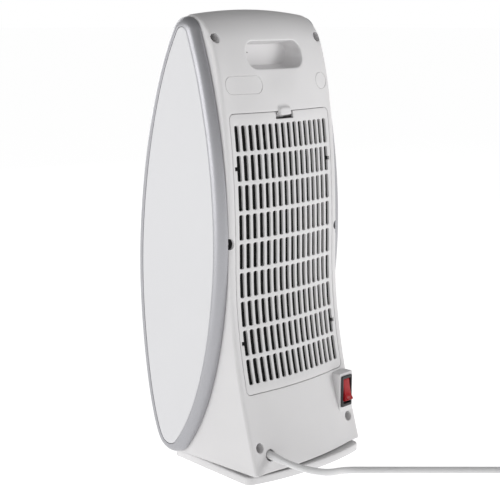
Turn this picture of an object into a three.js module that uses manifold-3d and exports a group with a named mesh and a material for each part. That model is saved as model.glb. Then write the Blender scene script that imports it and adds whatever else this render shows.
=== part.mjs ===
// Tower ceramic fan heater: oscillating body on a turntable base.
// Millimetres, +Z up, hot air leaves towards -Y, origin at the bottom centre.
import * as THREE from 'three';
import { mergeVertices } from 'three/addons/utils/BufferGeometryUtils.js';
import Module from 'manifold-3d';

const wasm = await Module();
wasm.setup();

// ---------------------------------------------------------------- driving dimensions
const GAP = 0.3;                 // clearance between neighbouring mouldings
const WALL = 2.5;                // housing wall
const BODY_HALF_WIDTH = 75;
const BODY_BOTTOM = 10;
const BODY_TOP = 432;
const REAR_BOW = 8.5;            // how far the rear face bulges between its sides
const FRONT_BOW = 4;
const CROWN_DROP = 6;            // how much the top falls from its middle to its sides
const EDGE_ROUND = 3;
const PARTING_Y = -30;           // where the front and rear shells meet

const TRIM_INNER_X = BODY_HALF_WIDTH + GAP;
const TRIM_OUTER_X = 85.5;
const TRIM_ROUND = 9;            // radius of the silver rim
const PANEL_BACK_X = 81;

const PIVOT_Y = 14.8;            // turntable axis
const BASE_HALF_WIDTH = 74;
const BASE_FRONT = 56;           // from the turntable axis
const BASE_REAR = 54;
const BASE_REAR_BOW = 10;
const BASE_CORNER = 10;
const BASE_TOP = 8.2;
const BASE_TURN = THREE.MathUtils.degToRad(-4.9);
const FOOT_HEIGHT = 1.6;
const SKIRT_BOTTOM = 0.8;
const HUB_RADIUS = 20;

const COVER = { halfWidth: 67.6, bottom: 82.3, top: 339.2, corner: 5, thick: 2 };
const SLOT = { columns: 16, rows: 9, width: 5.2, length: 23.4, pitchX: 8.05, pitchZ: 26.8, topZ: 329 };
const LEDGE = { front: 2.3, back: 4.8, overlap: 3.6 };
const HOOK_NOTCH = { width: 2.6, height: 3.4 };
const LATCH = { halfWidth: 8.5, slotHalf: 11.2, slotBottom: 332 };

const HANDLE = { width: 75, height: 24.5, z: 391, floorY: 4, wall: 2, corner: 11 };
const SWITCH = { x: -60.8, z: 61.3, faceY: 64.3, bezelW: 15.1, bezelH: 31.5 };
const POD = { left: -71.5, right: -51.3, bottom: 40, top: 80 };
const SCREW = { recess: 4.5, boss: 6, head: 3.2, shank: 1.6, depth: 8 };
const SCREWS = [
  { x: 68.9, z: 406.5, surfaceY: 12.4 },
  { x: 64.2, z: 34.2, surfaceY: 64.2 },
];
const PRY_NOTCH = { x: 74.6, z: 224.5, radius: 4.5, depth: 4 };

const ROTOR = { y: -4, outer: 28, inner: 21, bottom: 92, top: 316, blades: 16, shaft: 3 };
const SCROLL = { bottom: 88, top: 322, wall: 2 };
const HEATER = { halfWidth: 44, front: -57, back: -42, bottom: 92, top: 316, cores: 3, fins: 8 };
const OUTLET = { halfWidth: 49, bottom: 76, top: 336, recess: 0.3, depth: 2, slats: 16, border: 4 };
const FASCIA = { halfWidth: 38, bottom: 350, top: 402, corner: 8, thick: 2 };
const LENS = { halfWidth: 20, bottom: 376, top: 393 };
const BUTTON = { radius: 5, z: 362, pitch: 16, count: 4, proud: 1.4 };

const CRANK = { y: PIVOT_Y - 30, throw: 15, disc: 18, restAngle: THREE.MathUtils.degToRad(-14.8) };

const CORD_RADIUS = 3.15;
const COIL = { x: -116.4, y: 276.8, inner: 24.7, outer: 44.3, height: 12.9, turnRadius: 41.1 };
const EXIT = new THREE.Vector3(53.4, 69, 25.5);
const RELIEF = { tilt: THREE.MathUtils.degToRad(-6), length: 14.6 };
const PLUG = { x: -45, y: COIL.y + COIL.turnRadius, z: 13 };

// ---------------------------------------------------------------- solids
function solidOf(geometry) {
  const bare = geometry.clone();
  bare.deleteAttribute('normal');
  bare.deleteAttribute('uv');
  const merged = mergeVertices(bare, 1e-4);
  return new wasm.Manifold(new wasm.Mesh({
    numProp: 3,
    vertProperties: new Float32Array(merged.attributes.position.array),
    triVerts: new Uint32Array(merged.index.array),
  }));
}

function geometryOf(solid) {
  const mesh = solid.getMesh();
  const geometry = new THREE.BufferGeometry();
  geometry.setAttribute('position', new THREE.BufferAttribute(new Float32Array(mesh.vertProperties), 3));
  geometry.setIndex(new THREE.BufferAttribute(new Uint32Array(mesh.triVerts), 1));
  geometry.computeVertexNormals();
  return geometry;
}

const axes = {
  x: new THREE.Matrix4().makeBasis(
    new THREE.Vector3(0, 1, 0), new THREE.Vector3(0, 0, 1), new THREE.Vector3(1, 0, 0)),
  y: new THREE.Matrix4().makeBasis(
    new THREE.Vector3(-1, 0, 0), new THREE.Vector3(0, 0, 1), new THREE.Vector3(0, 1, 0)),
  z: new THREE.Matrix4(),
};

// Extrudes an outline along an axis. Outlines are (y, z) along x, (x, z) along y, (x, y) along z.
function prism(axis, shape, from, to, curveSegments = 3) {
  let outline = shape;
  if (axis === 'y') {
    const points = shape.getPoints(curveSegments).map((p) => new THREE.Vector2(-p.x, p.y));
    outline = new THREE.Shape(points);
  }
  const geometry = new THREE.ExtrudeGeometry(outline, {
    depth: to - from,
    bevelEnabled: false,
    curveSegments,
  });
  geometry.translate(0, 0, from);
  geometry.applyMatrix4(axes[axis]);
  return solidOf(geometry);
}

function box(x0, x1, y0, y1, z0, z1) {
  const geometry = new THREE.BoxGeometry(x1 - x0, y1 - y0, z1 - z0);
  geometry.translate((x0 + x1) / 2, (y0 + y1) / 2, (z0 + z1) / 2);
  return solidOf(geometry);
}

// A round bar along an axis, between two places on it.
function rod(axis, a, b, from, to, radius, sides = 12) {
  const geometry = new THREE.CylinderGeometry(radius, radius, to - from, sides);
  geometry.rotateX(Math.PI / 2);
  geometry.translate(0, 0, (from + to) / 2);
  if (axis === 'z') geometry.translate(a, b, 0);
  if (axis === 'y') {
    geometry.applyMatrix4(axes.y);
    geometry.translate(a, 0, b);
  }
  if (axis === 'x') {
    geometry.applyMatrix4(axes.x);
    geometry.translate(0, a, b);
  }
  return solidOf(geometry);
}

function roundedRect(x0, x1, y0, y1, radius) {
  const shape = new THREE.Shape();
  shape.moveTo(x0 + radius, y0);
  shape.lineTo(x1 - radius, y0);
  shape.absarc(x1 - radius, y0 + radius, radius, -Math.PI / 2, 0, false);
  shape.lineTo(x1, y1 - radius);
  shape.absarc(x1 - radius, y1 - radius, radius, 0, Math.PI / 2, false);
  shape.lineTo(x0 + radius, y1);
  shape.absarc(x0 + radius, y1 - radius, radius, Math.PI / 2, Math.PI, false);
  shape.lineTo(x0, y0 + radius);
  shape.absarc(x0 + radius, y0 + radius, radius, Math.PI, 1.5 * Math.PI, false);
  return shape;
}

function unite(first, ...others) {
  return others.reduce((sum, other) => sum.add(other), first);
}

function cut(first, ...others) {
  return others.reduce((rest, other) => rest.subtract(other), first);
}

// Moves every point of a closed outline inwards by a distance.
function insetOutline(points, distance) {
  const count = points.length;
  return points.map((point, i) => {
    const before = points[(i + count - 1) % count];
    const after = points[(i + 1) % count];
    const u = new THREE.Vector2().subVectors(point, before).normalize();
    const v = new THREE.Vector2().subVectors(after, point).normalize();
    const normalU = new THREE.Vector2(-u.y, u.x);
    const normalV = new THREE.Vector2(-v.y, v.x);
    const miter = new THREE.Vector2().addVectors(normalU, normalV).normalize();
    const reach = distance / Math.max(0.5, miter.dot(normalU));
    return new THREE.Vector2(point.x + miter.x * reach, point.y + miter.y * reach);
  });
}

function samePoint(a, b) {
  return a.distanceTo(b) < 1e-6;
}

function outlinePoints(shape, segments) {
  const points = shape.getPoints(segments);
  const kept = points.filter((point, i) => i === 0 || !samePoint(point, points[i - 1]));
  if (samePoint(kept[0], kept[kept.length - 1])) kept.pop();
  return THREE.ShapeUtils.isClockWise(kept) ? kept.reverse() : kept;
}

// ---------------------------------------------------------------- body form
function curve(...numbers) {
  const points = [];
  for (let i = 0; i < numbers.length; i += 2) points.push(new THREE.Vector2(numbers[i], numbers[i + 1]));
  return new THREE.CubicBezierCurve(...points);
}

const rearCurves = [
  curve(77.4, BODY_BOTTOM, 64, 56, 43.6, 123, 43.6, 199),
  curve(43.6, 199, 43.6, 278, 38.4, 352, 19.2, 407),
];
const crownCurve = curve(19.2, 407, 13, 424, 0, BODY_TOP, -13, BODY_TOP);
const frontCurves = [
  curve(-46, BODY_BOTTOM, -62, 45, -74.5, 120, -74.5, 185),
  curve(-74.5, 185, -74.5, 290, -40, BODY_TOP, -13, BODY_TOP),
];

// The point at a height on a pair of rising curves, and the direction there.
function heightOn(curves, z) {
  const rising = z <= curves[0].v3.y ? curves[0] : curves[1];
  let low = 0;
  let high = 1;
  for (let i = 0; i < 40; i += 1) {
    const middle = (low + high) / 2;
    if (rising.getPoint(middle).y < z) low = middle;
    else high = middle;
  }
  return { point: rising.getPoint(low), tangent: rising.getTangent(low) };
}

// Heights of the body's facets: they fall between the rows of slots and on the outlet's slats.
const rowGap = (row) => SLOT.topZ - row * SLOT.pitchZ + (SLOT.pitchZ - SLOT.length) / 2;
const REAR_HEIGHTS = [BODY_BOTTOM, 30, 54, 78, rowGap(8), rowGap(6), rowGap(4), rowGap(2), 345, 378, 407];
const slatPitch = (OUTLET.top - OUTLET.bottom - 2 * OUTLET.border) / OUTLET.slats;
const slatHeight = (index) => OUTLET.bottom + OUTLET.border + index * slatPitch;
const FRONT_HEIGHTS = [
  424, 412, 396, 372, 348, slatHeight(14), slatHeight(11), slatHeight(8), slatHeight(5), slatHeight(2), 54, 30,
  BODY_BOTTOM,
];

// Side view of the body in (y, z): flared rear foot, crowned top, bellied front.
function bodySideView() {
  const rear = REAR_HEIGHTS.map((z) => new THREE.Vector2(heightOn(rearCurves, z).point.x, z));
  const front = FRONT_HEIGHTS.map((z) => new THREE.Vector2(heightOn(frontCurves, z).point.x, z));
  return [...rear, ...crownCurve.getPoints(5).slice(1), ...front];
}

// Facets across the width meet on ribs of the cover, as fractions of the half width.
const RIB_NEAR = (3 * SLOT.pitchX) / BODY_HALF_WIDTH;
const RIB_FAR = (6 * SLOT.pitchX) / BODY_HALF_WIDTH;

function smooth(value, from, to) {
  return THREE.MathUtils.smoothstep(value, from, to);
}

// The body block, inset by a distance, bowed across its width and rolled at its edges.
function bodyBlock(inset, halfWidth, stations = [-1, -0.97, -RIB_FAR, -RIB_NEAR, 0, RIB_NEAR, RIB_FAR, 0.97, 1]) {
  const steps = stations.length - 1;
  const geometry = new THREE.ExtrudeGeometry(new THREE.Shape(insetOutline(bodySideView(), inset)), {
    depth: steps,
    steps,
    bevelEnabled: false,
  });
  geometry.applyMatrix4(axes.x);
  const position = geometry.attributes.position;
  for (let i = 0; i < position.count; i += 1) {
    const x = stations[Math.round(position.getX(i))] * halfWidth;
    const y = position.getY(i);
    const z = position.getZ(i);
    const across = (x / BODY_HALF_WIDTH) ** 2;
    const edge = Math.max(0, Math.abs(x) / BODY_HALF_WIDTH - 0.95) / 0.05;
    const roll = EDGE_ROUND * (1 - Math.sqrt(Math.max(0, 1 - edge * edge)));
    const rear = smooth(y, PARTING_Y, 12);
    const front = 1 - smooth(y, -60, PARTING_Y);
    const crown = smooth(z, 330, 425);
    const moveY = front * (FRONT_BOW * across + roll) - rear * (REAR_BOW * across + roll);
    position.setXYZ(i, x, y + moveY, z - crown * (CROWN_DROP * across + roll));
  }
  return solidOf(geometry);
}

const outerBlock = bodyBlock(0, BODY_HALF_WIDTH);
const innerBlock = bodyBlock(WALL, BODY_HALF_WIDTH - WALL, [-1, -RIB_FAR, 0, RIB_FAR, 1]);
const bodyShell = outerBlock.subtract(innerBlock);

// A layer of the body form between two depths below its surface.
function layer(from, to) {
  const outside = from === 0 ? outerBlock : bodyBlock(from, BODY_HALF_WIDTH);
  return outside.subtract(bodyBlock(to, BODY_HALF_WIDTH));
}

const behindParting = box(-100, 100, PARTING_Y + GAP / 2, 100, 0, 450);
const beforeParting = box(-100, 100, -100, PARTING_Y - GAP / 2, 0, 450);

// Place of the front face on the centre line, and how far it leans back.
function frontFace(z) {
  const { point, tangent } = heightOn(frontCurves, z);
  return { y: point.x, tilt: Math.atan2(tangent.x, tangent.y) };
}

// ---------------------------------------------------------------- rear housing
function coverWindow(grow, y0, y1) {
  const { halfWidth, bottom, top, corner } = COVER;
  return prism('y', roundedRect(
    -halfWidth - grow, halfWidth + grow, bottom - grow, top + grow, Math.max(1, corner + grow)), y0, y1);
}

function handlePocket(grow, floorY) {
  const { width, height, z, corner } = HANDLE;
  return prism('y', roundedRect(
    -width / 2 - grow, width / 2 + grow,
    z - height / 2 - grow, z + height / 2 + grow, corner + grow), floorY, 60);
}

function rearHousing() {
  let solid = bodyShell.intersect(behindParting);
  const ledge = layer(LEDGE.front, LEDGE.back).intersect(coverWindow(3, 10, 80));
  solid = solid.subtract(coverWindow(GAP, 10, 80)).add(ledge);
  solid = solid.add(handlePocket(HANDLE.wall, HANDLE.floorY - HANDLE.wall).intersect(outerBlock));
  const podOutside = prism('y', roundedRect(POD.left, POD.right, POD.bottom, POD.top, 2), 45, SWITCH.faceY);
  const podInside = box(POD.left + 2, POD.right - 2, 40, SWITCH.faceY - 2, POD.bottom + 2, POD.top - 2);
  solid = solid.add(podOutside.subtract(innerBlock)).subtract(podInside);
  solid = cut(
    solid,
    coverWindow(-LEDGE.overlap, 10, 80),
    handlePocket(0, HANDLE.floorY),
    box(-LATCH.slotHalf, LATCH.slotHalf, 20, 33.4, LATCH.slotBottom, 345),
    box(SWITCH.x - 6.8, SWITCH.x + 6.8, 50, 70, SWITCH.z - 13.9, SWITCH.z + 13.9),
    rod('y', EXIT.x, EXIT.z, 55, 80, 5.4, 20),
    rod('z', 0, PIVOT_Y, 5, 14, HUB_RADIUS + 1, 20),
  );
  for (const side of [-1, 1]) {
    for (const { x, z, surfaceY } of SCREWS) {
      const boss = rod('y', side * x, z, surfaceY - SCREW.depth - 2, surfaceY + 8, SCREW.boss);
      solid = solid.add(boss.intersect(outerBlock));
      solid = solid.subtract(rod('y', side * x, z, surfaceY - SCREW.depth, surfaceY + 12, SCREW.recess));
      solid = solid.subtract(rod('y', side * x, z, surfaceY - 20, surfaceY, SCREW.shank + 0.3));
    }
    const backing = box(66, 74.9, 26, 33, PRY_NOTCH.z - 7, PRY_NOTCH.z + 7).intersect(outerBlock);
    solid = solid.add(side > 0 ? backing : backing.mirror([1, 0, 0]));
    solid = solid.subtract(rod('y', side * PRY_NOTCH.x, PRY_NOTCH.z, 30.5, 50, PRY_NOTCH.radius));
    solid = solid.add(rod('z', side * 29, CRANK.y, BODY_BOTTOM + 1, 24.7, 3.5, 12));
  }
  return solid;
}

// ---------------------------------------------------------------- front housing
function outletWindow(grow, y0, y1) {
  const { halfWidth, bottom, top } = OUTLET;
  return prism('y', roundedRect(
    -halfWidth - grow, halfWidth + grow, bottom - grow, top + grow, 6 + grow), y0, y1);
}

function fasciaWindow(grow, y0, y1) {
  const { halfWidth, bottom, top, corner } = FASCIA;
  return prism('y', roundedRect(
    -halfWidth - grow, halfWidth + grow, bottom - grow, top + grow, corner + grow), y0, y1);
}

function frontHousing() {
  let solid = bodyShell.intersect(beforeParting);
  solid = cut(solid, outletWindow(GAP, -90, -31), fasciaWindow(GAP, -90, -20));
  const ledge = layer(LEDGE.front, LEDGE.back).intersect(beforeParting);
  solid = solid.add(ledge.intersect(outletWindow(3, -90, -31)));
  solid = solid.add(ledge.intersect(fasciaWindow(3, -90, -31)));
  solid = cut(solid, outletWindow(-3, -90, -20), fasciaWindow(-3, -90, -20));
  const clearRoom = bodyBlock(WALL + GAP, BODY_HALF_WIDTH - WALL - GAP, [-1, -RIB_FAR, 0, RIB_FAR, 1]);
  const room = outerBlock.intersect(beforeParting).add(clearRoom);
  for (const side of [-1, 1]) {
    for (const { x, z, surfaceY } of SCREWS) {
      const back = surfaceY - SCREW.depth - 2 - GAP;
      const post = cut(
        rod('y', side * x, z, -70, back, 3.4, 12),
        rod('y', side * x, z, back - 14, back + 1, SCREW.shank + 0.3, 12),
      );
      solid = solid.add(post.intersect(room));
    }
    const web = box(66, 72, -45, -24, 375, 409).intersect(room);
    solid = solid.add(side > 0 ? web : web.mirror([1, 0, 0]));
  }
  return solid;
}

// ---------------------------------------------------------------- rear cover, filter, latch
function slotRow(index) {
  const top = SLOT.topZ - index * SLOT.pitchZ;
  return { top, bottom: top - SLOT.length };
}

function filterCover() {
  let solid = layer(0, COVER.thick).intersect(coverWindow(0, 10, 80));
  const cutters = [];
  for (let row = 0; row < SLOT.rows; row += 1) {
    const { top, bottom } = slotRow(row);
    for (let column = 0; column < SLOT.columns; column += 1) {
      const x = (column - (SLOT.columns - 1) / 2) * SLOT.pitchX;
      cutters.push(box(x - SLOT.width / 2, x + SLOT.width / 2, 15, 75, bottom, top));
    }
  }
  for (const row of [1, SLOT.rows - 2]) {
    const middle = (slotRow(row).top + slotRow(row).bottom) / 2;
    for (const side of [-1, 1]) {
      const edge = side * (((SLOT.columns - 1) / 2) * SLOT.pitchX + SLOT.width / 2);
      const outer = edge + side * HOOK_NOTCH.width;
      cutters.push(box(
        Math.min(edge - side, outer), Math.max(edge - side, outer), 15, 75,
        middle - HOOK_NOTCH.height / 2, middle + HOOK_NOTCH.height / 2));
    }
  }
  cutters.push(box(-LATCH.slotHalf, LATCH.slotHalf, 15, 75, LATCH.slotBottom, 345));
  solid = cut(solid, ...cutters);
  return solid;
}

function dustFilter() {
  const pad = layer(COVER.thick + GAP, COVER.thick + GAP + 2.2);
  const area = prism('y', roundedRect(-62.8, 62.8, 87.5, 331, 3), 10, 80);
  return pad.intersect(area);
}

function coverLatch() {
  const lipShape = roundedRect(-LATCH.halfWidth, LATCH.halfWidth, 338, 344.7, 2.5);
  const lip = layer(-2.2, -GAP).intersect(prism('y', lipShape, 20, 60));
  const stem = box(-LATCH.halfWidth, LATCH.halfWidth, 29, 36.4, 335.8, 338.6);
  return unite(lip, stem);
}

// ---------------------------------------------------------------- side trims and panels
function trimOutline() {
  const shape = new THREE.Shape();
  const top = { y: -13, z: 411, radius: 16 };
  const foot = { y: -36, z: 31, radius: 21 };
  const angle = THREE.MathUtils.degToRad;
  shape.absarc(top.y, top.z, top.radius, angle(20), angle(150), false);
  shape.bezierCurveTo(-59.9, 361.8, -79.5, 260, -79.5, 185);
  shape.bezierCurveTo(
    -79.5, 120, -67.5, 39.5,
    foot.y + foot.radius * Math.cos(angle(215)), foot.z + foot.radius * Math.sin(angle(215)));
  shape.absarc(foot.y, foot.z, foot.radius, angle(215), angle(320), false);
  shape.bezierCurveTo(18.7, 63.5, 35.5, 150, 36, 222);
  shape.bezierCurveTo(
    36, 290, 22.4, 360,
    top.y + top.radius * Math.cos(angle(20)), top.z + top.radius * Math.sin(angle(20)));
  return outlinePoints(shape, 5);
}

function trimPrism(inset, x0, x1) {
  return prism('x', new THREE.Shape(insetOutline(trimOutline(), inset)), x0, x1);
}

// The rim's outside: a stack of slices that step round a quarter circle.
function trimSolid() {
  const outline = trimOutline();
  const arcSteps = 3;
  const slices = [{ inset: 0, x: TRIM_INNER_X }];
  for (let i = 0; i <= arcSteps; i += 1) {
    const angle = (i / arcSteps) * (Math.PI / 2);
    slices.push({
      inset: TRIM_ROUND * (1 - Math.cos(angle)),
      x: TRIM_OUTER_X - TRIM_ROUND * (1 - Math.sin(angle)),
    });
  }
  const rings = slices.map(({ inset }) => insetOutline(outline, inset));
  const geometry = new THREE.ExtrudeGeometry(new THREE.Shape(outline), {
    depth: slices.length - 1,
    steps: slices.length - 1,
    bevelEnabled: false,
  });
  const position = geometry.attributes.position;
  for (let i = 0; i < position.count; i += 1) {
    const level = Math.round(position.getZ(i));
    const here = new THREE.Vector2(position.getX(i), position.getY(i));
    const index = outline.findIndex((point) => point.distanceTo(here) < 1e-3);
    const moved = rings[level][index];
    position.setXYZ(i, moved.x, moved.y, slices[level].x);
  }
  geometry.applyMatrix4(axes.x);
  return solidOf(geometry);
}

function sideTrim() {
  return cut(
    trimSolid(),
    trimPrism(TRIM_ROUND, PANEL_BACK_X - GAP, TRIM_OUTER_X + 5),
    trimPrism(TRIM_ROUND + 5, TRIM_INNER_X - 5, TRIM_OUTER_X + 5),
    rod('y', PRY_NOTCH.x + 0.9, PRY_NOTCH.z, 30, 50, PRY_NOTCH.radius),
  );
}

function sidePanel() {
  return trimPrism(TRIM_ROUND + GAP, PANEL_BACK_X, TRIM_OUTER_X - 0.2);
}

// ---------------------------------------------------------------- outlet grille and controls
function outletGrille() {
  const solid = layer(OUTLET.recess, OUTLET.depth).intersect(outletWindow(0, -90, -31));
  const slat = 2.4;
  const bar = 1.2;
  const edges = [-2, -1, 0, 1, 2].map((i) => Math.sign(i) * Math.min(Math.abs(i) * 3 * SLOT.pitchX, 46));
  const openings = [];
  for (let i = 0; i < OUTLET.slats; i += 1) {
    for (let column = 0; column < 4; column += 1) {
      openings.push(box(
        edges[column] + bar, edges[column + 1] - bar, -90, -31,
        slatHeight(i) + slat / 2, slatHeight(i + 1) - slat / 2));
    }
  }
  return cut(solid, ...openings);
}

// A button's own +Y points out of the front face.
function buttonPlace(index) {
  const face = frontFace(BUTTON.z);
  const x = (index - (BUTTON.count - 1) / 2) * BUTTON.pitch;
  const matrix = new THREE.Matrix4().makeRotationX(Math.PI - face.tilt);
  matrix.setPosition(x, face.y + FRONT_BOW * (x / BODY_HALF_WIDTH) ** 2, BUTTON.z);
  return matrix;
}

function buttonRod(index, radius, from, to) {
  const geometry = new THREE.CylinderGeometry(radius, radius, to - from, 12);
  geometry.translate(0, (from + to) / 2, 0);
  geometry.applyMatrix4(buttonPlace(index));
  return solidOf(geometry);
}

function lensShape(grow) {
  const { halfWidth, bottom, top } = LENS;
  return roundedRect(-halfWidth - grow, halfWidth + grow, bottom - grow, top + grow, 3);
}

function controlFascia() {
  let solid = layer(0, FASCIA.thick).intersect(fasciaWindow(0, -90, -20));
  solid = solid.subtract(prism('y', lensShape(GAP), -90, -20));
  for (let i = 0; i < BUTTON.count; i += 1) {
    solid = solid.subtract(buttonRod(i, BUTTON.radius + 0.4, -10, 10));
  }
  return solid;
}

function displayLens() {
  return layer(GAP, FASCIA.thick).intersect(prism('y', lensShape(0), -90, -20));
}

function pushButton(index) {
  const cap = buttonRod(index, BUTTON.radius, -2.2, BUTTON.proud);
  const stem = buttonRod(index, 2, -5.6, -2);
  return cap.add(stem);
}

function controlBoard() {
  const face = frontFace((FASCIA.bottom + FASCIA.top) / 2);
  const board = new THREE.BoxGeometry(64, 1.6, 46);
  const chip = new THREE.BoxGeometry(20, 3, 14);
  chip.translate(0, 2.2, 4);
  const place = new THREE.Matrix4().makeRotationX(-face.tilt);
  const depth = 11.5;
  place.setPosition(
    0, face.y + depth * Math.cos(face.tilt),
    (FASCIA.bottom + FASCIA.top) / 2 - depth * Math.sin(face.tilt));
  board.applyMatrix4(place);
  chip.applyMatrix4(place);
  return solidOf(board).add(solidOf(chip));
}

// ---------------------------------------------------------------- blower
function blowerWheel() {
  const discs = [[ROTOR.bottom, 2], [ROTOR.top - 2, 2]];
  let solid = null;
  for (const [z, thick] of discs) {
    const disc = rod('z', 0, 0, z, z + thick, ROTOR.outer + 0.5, 24);
    solid = solid ? solid.add(disc) : disc;
  }
  for (let i = 0; i < ROTOR.blades; i += 1) {
    const blade = new THREE.Shape();
    const middle = (ROTOR.outer + ROTOR.inner) / 2;
    blade.moveTo(ROTOR.inner, 0);
    blade.quadraticCurveTo(middle, 1.2, ROTOR.outer, 5);
    blade.lineTo(ROTOR.outer - 0.4, 6);
    blade.quadraticCurveTo(middle - 0.3, 2.3, ROTOR.inner, 1);
    blade.closePath();
    const turned = prism('z', blade, ROTOR.bottom + 1, ROTOR.top - 1, 2)
      .rotate([0, 0, (i * 360) / ROTOR.blades]);
    solid = solid.add(turned);
  }
  solid = solid.add(rod('z', 0, 0, ROTOR.bottom, ROTOR.bottom + 14, 7, 12));
  solid = solid.subtract(rod('z', 0, 0, 80, 340, ROTOR.shaft + GAP, 12));
  return solid.translate([0, ROTOR.y, 0]);
}

function wheelShaft() {
  return rod('z', 0, ROTOR.y, 80.5, SCROLL.top + 7, ROTOR.shaft, 12);
}

function scrollHousing() {
  const spiral = new THREE.Shape();
  const start = THREE.MathUtils.degToRad(115);
  const sweep = THREE.MathUtils.degToRad(165);
  const steps = 12;
  const radius = (t) => 30 + 12 * t;
  const at = (t, grow) => new THREE.Vector2(
    (radius(t) + grow) * Math.cos(start - sweep * t),
    ROTOR.y + (radius(t) + grow) * Math.sin(start - sweep * t));
  const outside = [];
  const inside = [];
  for (let i = 0; i <= steps; i += 1) {
    outside.push(at(i / steps, SCROLL.wall));
    inside.push(at(i / steps, 0));
  }
  spiral.setFromPoints([...outside, ...inside.reverse()]);
  const tongue = new THREE.Shape();
  tongue.moveTo(-45, -39.5);
  tongue.lineTo(-32, -24);
  tongue.quadraticCurveTo(-30, -20, -33, -18);
  tongue.lineTo(-47, -36);
  tongue.closePath();
  const plate = roundedRect(-48, 48, -39.5, 27, 12);
  let solid = unite(
    prism('z', spiral, SCROLL.bottom, SCROLL.top),
    prism('z', tongue, SCROLL.bottom, SCROLL.top),
    prism('z', plate, SCROLL.bottom, SCROLL.bottom + SCROLL.wall),
    prism('z', plate, SCROLL.top - SCROLL.wall, SCROLL.top),
  );
  solid = solid.subtract(rod('z', 0, ROTOR.y, SCROLL.bottom - 1, SCROLL.bottom + 5, 8, 20));
  solid = solid.subtract(rod('z', 0, ROTOR.y, SCROLL.top - 5, SCROLL.top + 5, 8.5, 20));
  return solid;
}

function blowerMotor() {
  const body = rod('z', 0, ROTOR.y, 49, 82, 25, 20);
  const shoulder = rod('z', 0, ROTOR.y, 81, SCROLL.bottom - GAP, 16, 16);
  const flange = prism('z', roundedRect(-32, 32, -8, 4, 5), 84, SCROLL.bottom - GAP);
  const bore = rod('z', 0, ROTOR.y, 79, 95, ROTOR.shaft + GAP, 12);
  return unite(body, shoulder, flange).subtract(bore);
}

function topBearing() {
  const collar = rod('z', 0, ROTOR.y, SCROLL.top - 4, SCROLL.top + 4, 8, 14);
  const flange = rod('z', 0, ROTOR.y, SCROLL.top + GAP, SCROLL.top + 2.5, 13, 14);
  const bore = rod('z', 0, ROTOR.y, SCROLL.top - 6, SCROLL.top + 8, ROTOR.shaft + GAP, 12);
  return unite(collar, flange).subtract(bore);
}

// ---------------------------------------------------------------- ceramic heating element
function heaterFrame() {
  const { halfWidth, front, back, bottom, top, cores } = HEATER;
  let solid = box(-halfWidth, halfWidth, front, back, bottom, top);
  const bay = (2 * halfWidth - 4) / cores;
  for (let i = 0; i < cores; i += 1) {
    const x = -halfWidth + 2 + i * bay;
    solid = solid.subtract(box(x + 1, x + bay - 1, front - 1, back + 1, bottom + 6, top - 6));
  }
  return solid;
}

function ptcCore(index) {
  const { halfWidth, front, back, bottom, top, cores, fins } = HEATER;
  const bay = (2 * halfWidth - 4) / cores;
  const x0 = -halfWidth + 3 + index * bay + GAP;
  const x1 = x0 + bay - 2 - 2 * GAP;
  const middle = (x0 + x1) / 2;
  const z0 = bottom + 6 + GAP;
  const z1 = top - 6 - GAP;
  let solid = box(middle - 1.6, middle + 1.6, front + 2, back - 2, z0, z1);
  solid = solid.add(box(x0, x0 + 1, front + 2, back - 2, z0, z1));
  solid = solid.add(box(x1 - 1, x1, front + 2, back - 2, z0, z1));
  for (let i = 0; i < fins; i += 1) {
    const z = z0 + ((z1 - z0 - 0.8) * i) / (fins - 1);
    solid = solid.add(box(x0 + 0.5, x1 - 0.5, front + 2.5, back - 2.5, z, z + 0.8));
  }
  return solid;
}

function thermalCutout() {
  const { back, top } = HEATER;
  const cap = rod('y', 0, top + 9, back - 5, back + 2, 7.5, 20);
  const bracket = box(-12, 12, back - 6.5, back - 4.5, top + GAP, top + 17);
  return cap.add(bracket);
}

// ---------------------------------------------------------------- electrics
function powerBoard() {
  const board = box(40, 41.6, -28, 38, 45, 84);
  const relay = box(41.5, 56, 8, 28, 50, 66);
  const capacitor = box(41.5, 53, -20, -6, 52, 74);
  const relayTwo = box(41.5, 56, 8, 28, 68, 82);
  const terminals = box(41.5, 50, -4, 5, 50, 80);
  return unite(board, relay, relayTwo, capacitor, terminals);
}

function tiltSensor() {
  const can = rod('z', -48, -8, 16, 34, 8, 18);
  const foot = box(-60, -36, -14, -2, BODY_BOTTOM + WALL + GAP, 16.5);
  return can.add(foot);
}

function oscillationMotor() {
  const body = rod('z', 0, CRANK.y, 26, 44, 24, 20);
  const ears = prism('z', roundedRect(-34, 34, CRANK.y - 6, CRANK.y + 6, 5), 25, 27.5);
  const bore = rod('z', 0, CRANK.y, 24, 36, 2.5 + GAP, 12);
  return unite(body, ears).subtract(bore);
}

function oscillationCrank() {
  const disc = rod('z', 0, CRANK.y, 20.2, 23.2, CRANK.disc, 20);
  const spindle = rod('z', 0, CRANK.y, 23, 34, 2.5, 12);
  const pinX = CRANK.throw * Math.sin(CRANK.restAngle);
  const pinY = CRANK.y - CRANK.throw * Math.cos(CRANK.restAngle);
  const pin = rod('z', pinX, pinY, 19.6, 21, 2, 12);
  return unite(disc, spindle, pin);
}

function switchBody() {
  const { x, z, faceY, bezelW, bezelH } = SWITCH;
  const flange = prism('y', roundedRect(
    x - bezelW / 2, x + bezelW / 2, z - bezelH / 2, z + bezelH / 2, 1), faceY + GAP, faceY + 1.9);
  const can = box(x - 6.5, x + 6.5, faceY - 17, faceY + 1, z - 13.5, z + 13.5);
  const well = box(x - 5.7, x + 5.7, faceY - 12, faceY + 5, z - 12.8, z + 12.8);
  return unite(flange, can).subtract(well);
}

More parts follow.
